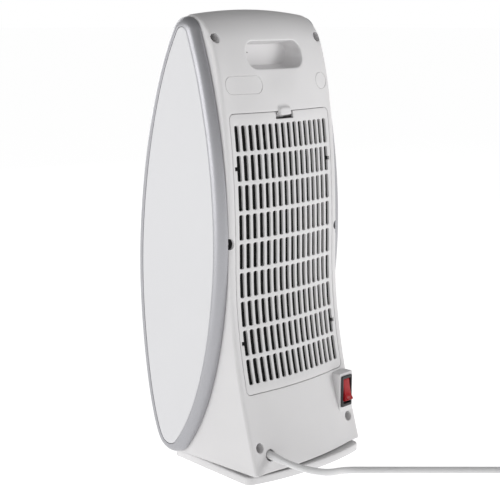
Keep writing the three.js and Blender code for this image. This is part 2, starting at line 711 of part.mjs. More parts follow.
// The rocker at rest has its lower end out; its rocking axis runs across it.
function rockerKey() {
  const side = new THREE.Shape();
  const hinge = { y: SWITCH.faceY - 2, z: SWITCH.z };
  side.moveTo(hinge.y - 7, hinge.z - 5);
  side.lineTo(hinge.y + 1, hinge.z - 12.2);
  side.lineTo(hinge.y + 5.4, hinge.z - 11.4);
  side.lineTo(hinge.y + 8, hinge.z - 10.3);
  side.quadraticCurveTo(hinge.y + 5.6, hinge.z - 4, hinge.y + 4.4, hinge.z);
  side.quadraticCurveTo(hinge.y + 3.2, hinge.z + 5, hinge.y + 3, hinge.z + 11.6);
  side.lineTo(hinge.y - 0.5, hinge.z + 12.2);
  side.lineTo(hinge.y - 7, hinge.z + 5);
  side.closePath();
  return prism('x', side, SWITCH.x - 5.3, SWITCH.x + 5.3, 4);
}

// ---------------------------------------------------------------- turntable base
// Plan outline about the turntable axis, before the base is turned.
function basePlan(inset) {
  const x = BASE_HALF_WIDTH;
  const r = BASE_CORNER;
  const shape = new THREE.Shape();
  shape.moveTo(-x + r, -BASE_FRONT);
  shape.lineTo(x - r, -BASE_FRONT);
  shape.absarc(x - r, -BASE_FRONT + r, r, -Math.PI / 2, 0, false);
  shape.lineTo(x, BASE_REAR - r);
  shape.quadraticCurveTo(x, BASE_REAR, x - r, BASE_REAR + 2.2);
  shape.quadraticCurveTo(0, BASE_REAR + 2 * BASE_REAR_BOW - 2.2, -x + r, BASE_REAR + 2.2);
  shape.quadraticCurveTo(-x, BASE_REAR, -x, BASE_REAR - r);
  shape.lineTo(-x, -BASE_FRONT + r);
  shape.absarc(-x + r, -BASE_FRONT + r, r, Math.PI, 1.5 * Math.PI, false);
  return new THREE.Shape(insetOutline(outlinePoints(shape, 4), inset));
}

function basePlate() {
  const slab = prism('z', basePlan(0), SKIRT_BOTTOM, BASE_TOP);
  const hollow = prism('z', basePlan(3), 0, BASE_TOP - WALL);
  const hub = rod('z', 0, 0, BASE_TOP - WALL, 15.7, HUB_RADIUS, 20);
  const hubHole = rod('z', 0, 0, 0, 20, HUB_RADIUS - 4, 20);
  return cut(slab, hollow).add(hub).subtract(hubHole);
}

function baseBallast() {
  const plate = prism('z', basePlan(3 + GAP), FOOT_HEIGHT + GAP, BASE_TOP - WALL - GAP);
  return plate.subtract(rod('z', 0, 0, 0, 10, HUB_RADIUS + 2, 20));
}

function swivelWasher() {
  return cut(rod('z', 0, 0, BASE_TOP + GAP, 9.7, 30, 20), rod('z', 0, 0, 5, 12, HUB_RADIUS + 1, 20));
}

function turntableRing() {
  return cut(rod('z', 0, 0, 12.8, 15.4, 26, 20), rod('z', 0, 0, 10, 18, HUB_RADIUS + 1, 20));
}

function driveArm() {
  const disc = rod('z', 0, 0, 16, 19.2, 19, 20);
  const bar = box(-6, 6, -50, -10, 16, 19.2);
  const slot = box(-2.3, 2.3, -47, -13, 10, 25);
  return unite(disc, bar).subtract(slot).subtract(rod('z', 0, 0, 10, 25, 6, 12));
}

function foot(x, y) {
  return rod('z', x, y, 0, FOOT_HEIGHT, 7, 14);
}

// ---------------------------------------------------------------- screws
function housingScrew(side, { x, z, surfaceY }) {
  const seat = surfaceY - SCREW.depth + GAP;
  const head = rod('y', side * x, z, seat, seat + 2.4, SCREW.head, 12);
  const shank = rod('y', side * x, z, seat - 13, seat + 0.5, SCREW.shank - 0.1, 12);
  const slot = box(side * x - 2.2, side * x + 2.2, seat + 1.2, seat + 4, z - 0.5, z + 0.5);
  return unite(head, shank).subtract(slot);
}

// ---------------------------------------------------------------- mains lead
// Route of the lead, laid by hand: straight out, round and down to the floor, then away to the coil.
const leadRoute = [
  new THREE.Vector3(53.4, 83.8, 23.9),
  new THREE.Vector3(53.4, 86.3, 23.7),
  new THREE.Vector3(52.1, 94.7, 22.3),
  new THREE.Vector3(48.3, 102.4, 20.5),
  new THREE.Vector3(42.4, 108.5, 18.4),
  new THREE.Vector3(35, 112.6, 16.1),
  new THREE.Vector3(26.6, 114.3, 13.6),
  new THREE.Vector3(18.2, 113.4, 11.2),
  new THREE.Vector3(7.1, 110.4, 8.2),
  new THREE.Vector3(-0.9, 109.4, 6.3),
  new THREE.Vector3(-8.8, 110.5, 4.8),
  new THREE.Vector3(-16.1, 113.7, 3.8),
  new THREE.Vector3(-22.4, 118.7, 3.3),
  new THREE.Vector3(-43.9, 141.2, 3.3),
  new THREE.Vector3(-65.4, 163.8, 3.3),
  new THREE.Vector3(-86.9, 186.3, 3.3),
  new THREE.Vector3(-108.4, 208.9, 3.3),
  new THREE.Vector3(-129.9, 231.4, 3.3),
];

const TAIL_CLEAR = 23.5;         // where the tail has left the coil's outer turn
function tailRoute() {
  const from = COIL.x + TAIL_CLEAR;
  const to = PLUG.x - 27 - GAP;
  const topLayer = COIL.height - CORD_RADIUS;
  return [
    new THREE.Vector3(from, PLUG.y, topLayer),
    new THREE.Vector3(from + 5, PLUG.y, topLayer),
    new THREE.Vector3(to - 5, PLUG.y, PLUG.z),
    new THREE.Vector3(to, PLUG.y, PLUG.z),
  ];
}

function leadTube(points, steps) {
  const section = new THREE.Shape();
  section.absarc(0, 0, CORD_RADIUS, 0, 2 * Math.PI, false);
  const path = new THREE.CatmullRomCurve3(points, false, 'centripetal');
  return solidOf(new THREE.ExtrudeGeometry(section, {
    extrudePath: path,
    steps,
    bevelEnabled: false,
    curveSegments: 5,
  }));
}

function cordGland() {
  const profile = [
    new THREE.Vector2(0, -18), new THREE.Vector2(7, -18), new THREE.Vector2(7, -14),
    new THREE.Vector2(4.6, -13), new THREE.Vector2(4.2, 0), new THREE.Vector2(3.5, RELIEF.length),
    new THREE.Vector2(0, RELIEF.length),
  ];
  const geometry = new THREE.LatheGeometry(profile, 20);
  const place = new THREE.Matrix4().makeRotationX(RELIEF.tilt);
  place.setPosition(EXIT);
  geometry.applyMatrix4(place);
  return solidOf(geometry);
}

function cordCoil() {
  const { x, y, inner, outer, height } = COIL;
  const profile = [
    new THREE.Vector2(inner, 0.1), new THREE.Vector2(outer, 0.1),
    new THREE.Vector2(outer, height), new THREE.Vector2(inner, height),
    new THREE.Vector2(inner, 0.1),
  ];
  const geometry = new THREE.LatheGeometry(profile, 32);
  geometry.rotateX(Math.PI / 2);
  geometry.translate(x, y, 0);
  return solidOf(geometry);
}

function plugBody() {
  const shape = new THREE.Shape();
  shape.moveTo(-27, -4.6);
  shape.lineTo(-8, -6);
  shape.quadraticCurveTo(-2, -17.5, 12, -18);
  shape.lineTo(20, -18);
  shape.lineTo(20, 18);
  shape.lineTo(12, 18);
  shape.quadraticCurveTo(-2, 17.5, -8, 6);
  shape.lineTo(-27, 4.6);
  shape.closePath();
  const flat = prism('z', shape, -12.9, 12.9, 6);
  const side = new THREE.Shape();
  side.moveTo(-27, -4.6);
  side.lineTo(-8, -6);
  side.quadraticCurveTo(-2, -12.5, 12, -12.9);
  side.lineTo(21, -12.9);
  side.lineTo(21, 12.9);
  side.lineTo(12, 12.9);
  side.quadraticCurveTo(-2, 12.5, -8, 6);
  side.lineTo(-27, 4.6);
  side.closePath();
  const tall = prism('y', side, -20, 20, 6);
  return flat.intersect(tall).translate([PLUG.x, PLUG.y, PLUG.z]);
}

function plugPin(side) {
  const pin = rod('x', side * 9.5, 0, 20 + GAP, 39, 2.4, 16);
  return pin.translate([PLUG.x, PLUG.y, PLUG.z]);
}

// ---------------------------------------------------------------- materials and assembly
const finishes = {
  shell: { color: 0xd9d9db, roughness: 0.42, metalness: 0 },
  silver: { color: 0xb9bbc0, roughness: 0.28, metalness: 0.75 },
  white: { color: 0xe9eaec, roughness: 0.35, metalness: 0 },
  dark: { color: 0x2c2d30, roughness: 0.5, metalness: 0 },
  grille: { color: 0x4a4c50, roughness: 0.5, metalness: 0.1 },
  lens: { color: 0x101216, roughness: 0.1, metalness: 0 },
  key: { color: 0xc9cbcf, roughness: 0.4, metalness: 0.2 },
  board: { color: 0x1f6b3a, roughness: 0.6, metalness: 0 },
  steel: { color: 0x9a9da1, roughness: 0.35, metalness: 1 },
  aluminium: { color: 0xc4c6c8, roughness: 0.45, metalness: 1 },
  mica: { color: 0x6d4a33, roughness: 0.6, metalness: 0 },
  bronze: { color: 0xa5763a, roughness: 0.4, metalness: 0.9 },
  filter: { color: 0x8b8d8f, roughness: 0.9, metalness: 0 },
  red: { color: 0xc8141c, roughness: 0.12, metalness: 0 },
  black: { color: 0x1a1a1b, roughness: 0.35, metalness: 0 },
  rubber: { color: 0x2a2a2a, roughness: 0.85, metalness: 0 },
  acetal: { color: 0xf0eee6, roughness: 0.5, metalness: 0 },
  cord: { color: 0xdfe0e1, roughness: 0.5, metalness: 0 },
};

const heater = new THREE.Group();

function addPart(parent, name, solid, finish) {
  const mesh = new THREE.Mesh(geometryOf(solid), new THREE.MeshStandardMaterial(finishes[finish]));
  mesh.name = name;
  parent.add(mesh);
  return mesh;
}

addPart(heater, 'rear_housing', rearHousing(), 'shell');
addPart(heater, 'front_housing', frontHousing(), 'shell');

const trim = sideTrim();
const panel = sidePanel();
addPart(heater, 'side_trim_left', trim, 'silver');
addPart(heater, 'side_trim_right', trim.mirror([1, 0, 0]), 'silver');
addPart(heater, 'side_panel_left', panel, 'white');
addPart(heater, 'side_panel_right', panel.mirror([1, 0, 0]), 'white');

addPart(heater, 'filter_cover', filterCover(), 'shell');
addPart(heater, 'dust_filter', dustFilter(), 'filter');
addPart(heater, 'cover_latch', coverLatch(), 'shell');

addPart(heater, 'outlet_grille', outletGrille(), 'grille');
addPart(heater, 'control_fascia', controlFascia(), 'silver');
addPart(heater, 'display_lens', displayLens(), 'lens');
const buttonNames = ['button_power', 'button_heat', 'button_swing', 'button_timer'];
buttonNames.forEach((name, index) => addPart(heater, name, pushButton(index), 'key'));
addPart(heater, 'control_board', controlBoard(), 'board');

addPart(heater, 'blower_wheel', blowerWheel(), 'dark');
addPart(heater, 'wheel_shaft', wheelShaft(), 'steel');
addPart(heater, 'scroll_housing', scrollHousing(), 'dark');
addPart(heater, 'blower_motor', blowerMotor(), 'steel');
addPart(heater, 'top_bearing', topBearing(), 'bronze');

addPart(heater, 'heater_frame', heaterFrame(), 'mica');
for (let i = 0; i < HEATER.cores; i += 1) {
  addPart(heater, `ptc_core_${i + 1}`, ptcCore(i), 'aluminium');
}
addPart(heater, 'thermal_cutout', thermalCutout(), 'steel');

addPart(heater, 'power_board', powerBoard(), 'board');
addPart(heater, 'tilt_sensor', tiltSensor(), 'black');
addPart(heater, 'oscillation_motor', oscillationMotor(), 'steel');
addPart(heater, 'oscillation_crank', oscillationCrank(), 'acetal');
addPart(heater, 'switch_body', switchBody(), 'black');
addPart(heater, 'rocker_key', rockerKey(), 'red');

SCREWS.forEach((screw, row) => {
  for (const side of [-1, 1]) {
    const place = `${row === 0 ? 'top' : 'bottom'}_${side > 0 ? 'left' : 'right'}`;
    addPart(heater, `screw_${place}`, housingScrew(side, screw), 'steel');
  }
});

const turntable = new THREE.Group();
turntable.position.set(0, PIVOT_Y, 0);
turntable.rotation.z = BASE_TURN;
heater.add(turntable);
addPart(turntable, 'base_plate', basePlate(), 'shell');
addPart(turntable, 'base_ballast', baseBallast(), 'steel');
addPart(turntable, 'swivel_washer', swivelWasher(), 'acetal');
addPart(turntable, 'turntable_ring', turntableRing(), 'acetal');
addPart(turntable, 'drive_arm', driveArm(), 'acetal');
let footNumber = 1;
for (const x of [-58, 58]) {
  for (const y of [-42, 42]) {
    addPart(turntable, `foot_${footNumber}`, foot(x, y), 'rubber');
    footNumber += 1;
  }
}

addPart(heater, 'cord_gland', cordGland(), 'cord');
addPart(heater, 'power_cord', leadTube(leadRoute, 30), 'cord');
addPart(heater, 'cord_coil', cordCoil(), 'cord');
addPart(heater, 'cord_tail', leadTube(tailRoute(), 6), 'cord');
addPart(heater, 'plug_body', plugBody(), 'cord');
addPart(heater, 'plug_pin_1', plugPin(-1), 'steel');
addPart(heater, 'plug_pin_2', plugPin(1), 'steel');

export default heater;
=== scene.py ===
"""Looks of the tower ceramic heater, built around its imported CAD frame.

Shapes are worked out in millimetres in the frame's axes and turned into metres when a mesh is made.
"""

import math

import bmesh
import bpy
import numpy as np
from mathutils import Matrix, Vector, kdtree
from mathutils.geometry import delaunay_2d_cdt


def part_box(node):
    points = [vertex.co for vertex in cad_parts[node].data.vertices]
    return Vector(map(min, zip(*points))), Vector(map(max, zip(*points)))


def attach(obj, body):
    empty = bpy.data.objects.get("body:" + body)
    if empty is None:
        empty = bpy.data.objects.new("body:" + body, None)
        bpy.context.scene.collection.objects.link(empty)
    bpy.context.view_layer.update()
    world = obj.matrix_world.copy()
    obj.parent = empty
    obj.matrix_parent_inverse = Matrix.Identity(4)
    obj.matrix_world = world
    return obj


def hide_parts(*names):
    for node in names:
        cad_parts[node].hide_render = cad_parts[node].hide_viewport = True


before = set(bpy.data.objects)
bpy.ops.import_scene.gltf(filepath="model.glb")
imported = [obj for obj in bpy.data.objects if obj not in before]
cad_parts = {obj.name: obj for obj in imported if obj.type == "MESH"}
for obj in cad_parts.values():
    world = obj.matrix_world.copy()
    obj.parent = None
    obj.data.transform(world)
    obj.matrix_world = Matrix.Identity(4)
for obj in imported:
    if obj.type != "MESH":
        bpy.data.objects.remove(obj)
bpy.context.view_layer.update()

MM = 0.001
SHARP_ANGLE = math.radians(35)
UP = np.array([0.0, 0.0, 1.0])
REARWARD = np.array([0.0, 1.0, 0.0])

# ---- driving dimensions, mm
HALF_WIDTH = 75.0
BODY_BOTTOM, BODY_TOP = 10.0, 432.0
REAR_BOW, FRONT_BOW, CROWN_DROP, EDGE_ROUND = 8.5, 4.0, 5.0, 3.0
CROWN_FOOT = 330.0
EDGE_SHARE = 0.95
BOTTOM_ROLL = 2.0
BOTTOM_STEPS = np.array([0.25, 0.6, 1.0, 1.5, 2.0])
PARTING_Y = -30.0
GAP = 0.3
SHELL = 2.5
PIVOT_Y = 14.8
BASE_TURN = math.radians(-4.9)

COVER = dict(x=67.6, low=82.3, high=339.2, corner=5.0, thick=2.2, gap=0.45, ledge=7.0)
SLOT = dict(columns=16, rows=9, width=5.2, length=23.4, pitch_x=8.05, pitch_z=26.8, top=329.0, corner=1.7)
HOOK = dict(width=2.6, height=3.4)
LATCH = dict(half=8.5, low=336.3, high=344.8, slot_half=11.8, slot_low=332.6, rise=1.9)
HANDLE = dict(x=37.5, low=378.75, high=403.25, corner=11.0, floor=4.0, lip=1.7, foot=4.6)
SWITCH = dict(x=-60.8, z=61.3, face=64.3, width=15.1, height=31.5)
POD = dict(left=-71.5, right=-51.3, low=40.0, high=80.0, wall=1.8, deep=22.0)
SCREWS = [(68.9, 406.5, 12.4), (64.2, 34.2, 64.2)]
SCREW_RECESS, SCREW_DEPTH = 4.5, 8.0
PRY = dict(z=223.2, radius=5.1, depth=6.0)
OUTLET = dict(x=49.0, low=76.0, high=336.0, corner=6.0, slats=16, border=4.0)
FASCIA = dict(x=38.0, low=350.0, high=402.0, corner=8.0)
LENS = dict(x=20.0, low=376.0, high=393.0, corner=3.0)
KEYS = ["power", "heat", "swing", "timer"]
BUTTON = dict(radius=5.0, z=362.0, pitch=16.0, proud=1.4)
TRIM = dict(inner=75.3, outer=85.5, round=9.0, lip=80.7, lean=0.3, drop=1.4)
EXIT = np.array([53.4, 69.0, 25.5])
RELIEF_TILT = math.radians(-6)
CORD_RADIUS = 3.15
COIL = dict(x=-116.4, y=276.8, turn=41.1, step=15)
PLUG = dict(x=-45.0, y=276.8 + 41.1, z=13.0)


# ---- small helpers
def smooth(value, low, high):
    """Rises from 0 to 1 with soft ends as a value passes from low to high."""
    t = np.clip((value - low) / (high - low), 0, 1)
    return t * t * (3 - 2 * t)


def stacked(*parts):
    """Columns of numbers side by side; a single number is repeated."""
    return np.stack(np.broadcast_arrays(*parts), axis=-1)


def lattice(across, along):
    """Every pairing of two lists of numbers, as points."""
    u, v = np.meshgrid(across, along)
    return stacked(u.ravel(), v.ravel())


def unit(vectors):
    return vectors / np.linalg.norm(vectors, axis=1)[:, None]


def rotated(x, y, angle):
    c, s = math.cos(angle), math.sin(angle)
    return x * c - y * s, x * s + y * c


def corner_curve(start, corner, end, t):
    """A point on the curve that rounds a corner."""
    return (1 - t) ** 2 * start + 2 * t * (1 - t) * corner + t * t * end


# ---- camera
def make_camera():
    data = bpy.data.cameras.new("photo_camera")
    data.lens, data.sensor_width = 86.0, 36.0
    camera = bpy.data.objects.new("photo_camera", data)
    bpy.context.scene.collection.objects.link(camera)
    yaw, pitch = math.radians(46.33), math.radians(10.87)
    look = Vector((-math.sin(yaw) * math.cos(pitch), -math.cos(yaw) * math.cos(pitch), -math.sin(pitch)))
    camera.location = (0.8281, 0.7815, 0.4217)
    camera.rotation_euler = look.to_track_quat("-Z", "Y").to_euler()
    bpy.context.scene.camera = camera


make_camera()


# ---- node materials
def shader_of(material):
    return material.node_tree.nodes["Principled BSDF"]


def new_material(name, color, roughness, metallic=0.0, **sockets):
    material = bpy.data.materials.new(name)
    material.use_nodes = True
    sockets.update(Base_Color=(*color, 1), Roughness=roughness, Metallic=metallic)
    for key, value in sockets.items():
        shader_of(material).inputs[key.replace("_", " ")].default_value = value
    return material


def add_node(material, kind, **settings):
    node = material.node_tree.nodes.new(kind)
    for key, value in settings.items():
        if key in node.inputs:
            node.inputs[key].default_value = value
        else:
            setattr(node, key, value)
    return node


def link(material, source, target):
    material.node_tree.links.new(source, target)


def drive(material, socket, source):
    """Feeds a node's output into a socket of the material's shader."""
    link(material, source, shader_of(material).inputs[socket])


def object_coordinates(material, stretch=(1, 1, 1)):
    coordinates = add_node(material, "ShaderNodeTexCoord")
    mapping = add_node(material, "ShaderNodeMapping", Scale=stretch)
    link(material, coordinates.outputs["Object"], mapping.inputs["Vector"])
    return mapping.outputs["Vector"]


def noise(material, vector, scale, detail=3.0, roughness=0.5):
    node = add_node(material, "ShaderNodeTexNoise", Scale=scale, Detail=detail, Roughness=roughness)
    link(material, vector, node.inputs["Vector"])
    return node.outputs["Fac"]


def ramp(material, factor, stops):
    node = add_node(material, "ShaderNodeValToRGB")
    elements = node.color_ramp.elements
    while len(elements) < len(stops):
        elements.new(0.5)
    for element, (position, color) in zip(elements, stops):
        element.position = position
        element.color = (*color, 1)
    link(material, factor, node.inputs["Fac"])
    return node.outputs["Color"]


def span(material, factor, low, high):
    node = add_node(material, "ShaderNodeMapRange", **{"To Min": low, "To Max": high})
    link(material, factor, node.inputs["Value"])
    return node.outputs["Result"]


def bump(material, height, strength, distance):
    node = add_node(material, "ShaderNodeBump", Strength=strength, Distance=distance)
    link(material, height, node.inputs["Height"])
    drive(material, "Normal", node.outputs["Normal"])


def finish_surface(material, tint, gloss, height, strength, distance):
    drive(material, "Base Color", tint)
    drive(material, "Roughness", gloss)
    bump(material, height, strength, distance)
    return material


def shade(color, factor):
    return tuple(min(1.0, c * factor) for c in color)


def moulded(name, color, roughness, grain=900.0, depth=0.00004, spread=0.03, **sockets):
    """Moulded plastic: fine spark texture, faint flow marks in colour, uneven gloss."""
    material = new_material(name, color, roughness, **sockets)
    vector = object_coordinates(material)
    flow = noise(material, vector, 9.0, 4.0, 0.55)
    tint = ramp(material, flow, [(0.3, shade(color, 1 - spread)), (0.7, shade(color, 1 + spread))])
    gloss = span(material, noise(material, vector, 160.0), roughness - 0.05, roughness + 0.06)
    return finish_surface(material, tint, gloss, noise(material, vector, grain, 2.0), 0.25, depth)


def metal(name, color, roughness, stretch=(40, 40, 900), depth=0.00003):
    """Drawn or plated metal with fine streaks along one way."""
    material = new_material(name, color, roughness, 1.0)
    vector = object_coordinates(material, stretch)
    streak = noise(material, vector, 3.0, 4.0, 0.6)
    tint = ramp(material, streak, [(0.25, shade(color, 0.86)), (0.75, shade(color, 1.1))])
    gloss = span(material, streak, roughness - 0.08, roughness + 0.1)
    return finish_surface(material, tint, gloss, streak, 0.2, depth)


def silver_paint():
    """Metallic paint: fine flake in colour and sparkle under a thin clear coat."""
    base = (0.43, 0.43, 0.452)
    material = new_material("silver_paint", base, 0.38, 0.6, Coat_Weight=0.15, Coat_Roughness=0.2)
    vector = object_coordinates(material)
    flake = add_node(material, "ShaderNodeTexVoronoi", Scale=2600.0)
    link(material, vector, flake.inputs["Vector"])
    tint = ramp(material, flake.outputs["Distance"], [(0.0, shade(base, 1.12)), (0.8, shade(base, 0.9))])
    gloss = span(material, noise(material, vector, 60.0), 0.34, 0.44)
    return finish_surface(material, tint, gloss, flake.outputs["Distance"], 0.08, 0.00003)


def filter_mesh():
    """Woven dust mesh: dark threads both ways, open dark cells between them."""
    material = new_material("filter_mesh", (0.03, 0.03, 0.032), 0.85, Specular_IOR_Level=0.15)
    across = add_node(material, "ShaderNodeTexWave", bands_direction="X", Scale=260.0, Distortion=0.5)
    along = add_node(material, "ShaderNodeTexWave", bands_direction="Z", Scale=260.0, Distortion=0.5)
    vector = object_coordinates(material)
    link(material, vector, across.inputs["Vector"])
    link(material, vector, along.inputs["Vector"])
    weave = add_node(material, "ShaderNodeMath", operation="MAXIMUM")
    link(material, across.outputs["Fac"], weave.inputs[0])
    link(material, along.outputs["Fac"], weave.inputs[1])
    stops = [(0.55, (0.001, 0.001, 0.001)), (0.95, (0.022, 0.022, 0.023))]
    drive(material, "Base Color", ramp(material, weave.outputs["Value"], stops))
    bump(material, weave.outputs["Value"], 0.8, 0.0004)
    return material


def circuit_green():
    """Board lacquer over copper tracks."""
    base = (0.015, 0.11, 0.045)
    material = new_material("circuit_green", base, 0.35)
    tracks = add_node(material, "ShaderNodeTexBrick", Scale=90.0, Color1=(*base, 1),
                      Color2=(*shade(base, 1.5), 1), Mortar=(0.10, 0.24, 0.10, 1))
    link(material, object_coordinates(material), tracks.inputs["Vector"])
    drive(material, "Base Color", tracks.outputs["Color"])
    bump(material, tracks.outputs["Fac"], 0.4, 0.0001)
    return material


MATERIALS = {
    "shell": moulded("shell_plastic", (0.725, 0.716, 0.721), 0.42),
    "panel": moulded("panel_plastic", (0.72, 0.72, 0.735), 0.30, grain=500.0, depth=0.00002, spread=0.012,
                     Coat_Weight=0.25, Coat_Roughness=0.15),
    "silver": silver_paint(),
    "filter": filter_mesh(),
    "grille": moulded("grille_plastic", (0.055, 0.057, 0.062), 0.45),
    "lens": moulded("lens_window", (0.012, 0.013, 0.016), 0.10, depth=0.000005, Coat_Weight=0.8),
    "key": moulded("key_plastic", (0.50, 0.51, 0.53), 0.36),
    "board": circuit_green(),
    "dark": moulded("dark_plastic", (0.03, 0.03, 0.032), 0.5),
    # screw metal kept dark to paint the shade that falls on it at the foot of its deep recess
    "screw": metal("shade_darkened_screw", (0.13, 0.125, 0.12), 0.5),
    "steel": metal("plated_steel", (0.50, 0.50, 0.49), 0.34),
    "bronze": metal("sintered_bronze", (0.42, 0.26, 0.12), 0.42),
    "mica": moulded("mica_board", (0.20, 0.115, 0.065), 0.6, spread=0.2),
    "fins": metal("fin_aluminium", (0.70, 0.71, 0.72), 0.38, (60, 900, 60)),
    "black": moulded("black_plastic", (0.018, 0.018, 0.019), 0.33),
    "red": moulded("rocker_red", (0.36, 0.004, 0.008), 0.2, grain=300.0, depth=0.00001, spread=0.08,
                   Specular_IOR_Level=0.3, Coat_Weight=0.15, Coat_Roughness=0.06),
    "acetal": moulded("acetal_plastic", (0.80, 0.79, 0.74), 0.45),
    "rubber": moulded("foot_rubber", (0.02, 0.02, 0.02), 0.8, grain=700.0, depth=0.00008),
    "cord": moulded("cord_jacket", (0.70, 0.70, 0.705), 0.44, grain=600.0, spread=0.02),
}


# ---- mains lead
def lead_points():
    """Control points of the lead: the laid route, the coil's two layers of turns, and the tail."""
    laid = [
        (53.4, 70.0, 25.4), (53.4, 76.0, 24.8), (53.4, 81.0, 24.2), (53.4, 86.3, 23.7), (52.1, 94.7, 22.3),
        (48.3, 102.4, 20.5), (42.4, 108.5, 18.4), (35, 112.6, 16.1), (26.6, 114.3, 13.6), (18.2, 113.4, 11.2),
        (7.1, 110.4, 8.2), (-0.9, 109.4, 6.3), (-8.8, 110.5, 4.8), (-16.1, 113.7, 3.8), (-22.4, 118.7, 3.3),
        (-43.9, 141.2, 3.3), (-65.4, 163.8, 3.3), (-86.9, 186.3, 3.3), (-108.4, 208.9, 3.3),
        (-129.9, 231.4, 3.3),
    ]
    pitch = 2 * CORD_RADIUS
    low, high = 3.3, 3.3 + pitch
    rings = [0, 1, 2, 2, 1, 0]
    last_turn = len(rings) - 1
    swell = 1 / (1 - math.radians(COIL["step"]) ** 2 / 6)
    turns = []
    for degrees in np.arange(0, 360 * last_turn + 133.8, COIL["step"]):
        turn = min(int(degrees // 360), last_turn)
        ring, following = rings[turn], rings[min(turn + 1, last_turn)]
        ring += (following - ring) * smooth(degrees - 360 * turn, 300, 360)
        radius = (COIL["turn"] - pitch * ring) * swell
        angle = math.radians(223.7 - degrees)
        turns.append((COIL["x"] + radius * math.cos(angle), COIL["y"] + radius * math.sin(angle),
                      low + pitch * smooth(degrees, 960, 1030)))
    tail = [(COIL["x"] + 12, PLUG["y"], high), (COIL["x"] + 24, PLUG["y"], high + 0.6),
            (COIL["x"] + 34, PLUG["y"], PLUG["z"] - 0.8), (PLUG["x"] - 25, PLUG["y"], PLUG["z"])]
    return laid + turns + tail


def make_cord():
    data = bpy.data.curves.new("mains_lead", "CURVE")
    data.dimensions = "3D"
    data.bevel_depth = CORD_RADIUS * MM
    data.bevel_resolution = 5
    data.resolution_u = 6
    data.use_fill_caps = True
    points = lead_points()
    spline = data.splines.new("NURBS")
    spline.points.add(len(points) - 1)
    for point, place in zip(spline.points, points):
        point.co = (*(c * MM for c in place), 1)
    spline.order_u = 4
    spline.use_endpoint_u = True
    lead = bpy.data.objects.new("mains_lead", data)
    bpy.context.scene.collection.objects.link(lead)
    data.materials.append(MATERIALS["cord"])
    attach(lead, "housing")
    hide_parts("power_cord", "cord_coil", "cord_tail")
    return lead


mains_lead = make_cord()


# ---- outlines in a plane, counter-clockwise
def arc(x, y, radius, start, end, count):
    angles = np.radians(np.linspace(start, end, count))
    return stacked(x + radius * np.cos(angles), y + radius * np.sin(angles))


def circle(x, y, radius, count=32):
    return arc(x, y, radius, 0, 360, count + 1)[:-1]


def rounded(x0, x1, y0, y1, radius, grow=0.0, count=6):
    x0, x1, y0, y1 = x0 - grow, x1 + grow, y0 - grow, y1 + grow
    radius = max(0.05, radius + grow)
    centres = ((x1 - radius, y0 + radius), (x1 - radius, y1 - radius), (x0 + radius, y1 - radius),
               (x0 + radius, y0 + radius))
    return np.vstack([arc(*centre, radius, 90 * k - 90, 90 * k, count) for k, centre in enumerate(centres)])


def densify(loop, longest):
    """Adds points so that no side of a closed outline is longer than a length."""
    points = []
    for here, there in zip(loop, np.roll(loop, -1, axis=0)):
        pieces = max(1, math.ceil(np.linalg.norm(there - here) / longest))
        points += [here + (there - here) * k / pieces for k in range(pieces)]
    return np.array(points)


def bezier(a, b, c, d, count):
    t = np.linspace(0, 1, count)[:, None]
    a, b, c, d = (np.array(p, float) for p in (a, b, c, d))
    return (1 - t) ** 3 * a + 3 * (1 - t) ** 2 * t * b + 3 * (1 - t) * t * t * c + t ** 3 * d


def inside(points, loop):
    """Which points lie in a closed outline."""
    points = np.atleast_2d(points)
    result = np.zeros(len(points), bool)
    near = np.flatnonzero(np.all((points >= loop.min(0)) & (points <= loop.max(0)), axis=1))
    if not len(near):
        return result
    x, y = points[near, 0][:, None], points[near, 1][:, None]
    x0, y0 = loop[:, 0], loop[:, 1]
    x1, y1 = np.roll(x0, -1), np.roll(y0, -1)
    rising = (y0 > y) != (y1 > y)
    with np.errstate(divide="ignore", invalid="ignore"):
        crossing = x < (x1 - x0) * (y - y0) / (y1 - y0) + x0
    result[near] = (rising & crossing).sum(1) % 2 == 1
    return result


# ---- mesh building
class Builder:
    """Collects closed shells of one piece."""

    def __init__(self):
        self.points = []
        self.faces = []
        self.count = 0

    def add(self, points):
        first = self.count
        self.points.append(np.asarray(points, float))
        self.count += len(points)
        return np.arange(first, self.count)

    def bridge(self, a, b):
        """Quads between two closed rows of the same length."""
        for i in range(len(a)):
            j = (i + 1) % len(a)
            self.faces.append((a[i], a[j], b[j], b[i]))

    def tube(self, rows, closed=False):
        indices = [self.add(row) for row in rows]
        for a, b in zip(indices, indices[1:]):
            self.bridge(a, b)
        if closed:
            self.bridge(indices[-1], indices[0])
        return indices

    def cap(self, row, flat):
        """Fills a closed row, triangulated in a plane."""
        triangles = fill(flat, [], np.zeros((0, 2)))[1]
        self.faces += [tuple(row[k] for k in triangle) for triangle in triangles]

    def finish(self, name, material, body, replaces=()):
        points = np.vstack(self.points) * MM
        mesh = bpy.data.meshes.new(name)
        mesh.from_pydata(points.tolist(), [], [tuple(int(k) for k in face) for face in self.faces])
        work = bmesh.new()
        work.from_mesh(mesh)
        bmesh.ops.remove_doubles(work, verts=work.verts, dist=1e-7)
        bmesh.ops.recalc_face_normals(work, faces=work.faces)
        work.to_mesh(mesh)
        work.free()
        mesh.shade_smooth()
        mesh.set_sharp_from_angle(angle=SHARP_ANGLE)
        mesh.materials.append(MATERIALS[material])
        piece = bpy.data.objects.new(name, mesh)
        bpy.context.scene.collection.objects.link(piece)
        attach(piece, body)
        if replaces:
            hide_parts(*replaces)
        return piece


def within(points, outer, holes):
    """Which points lie in an outline and in none of its holes."""
    result = inside(points, outer)
    for hole in holes:
        result &= ~inside(points, hole)
    return result


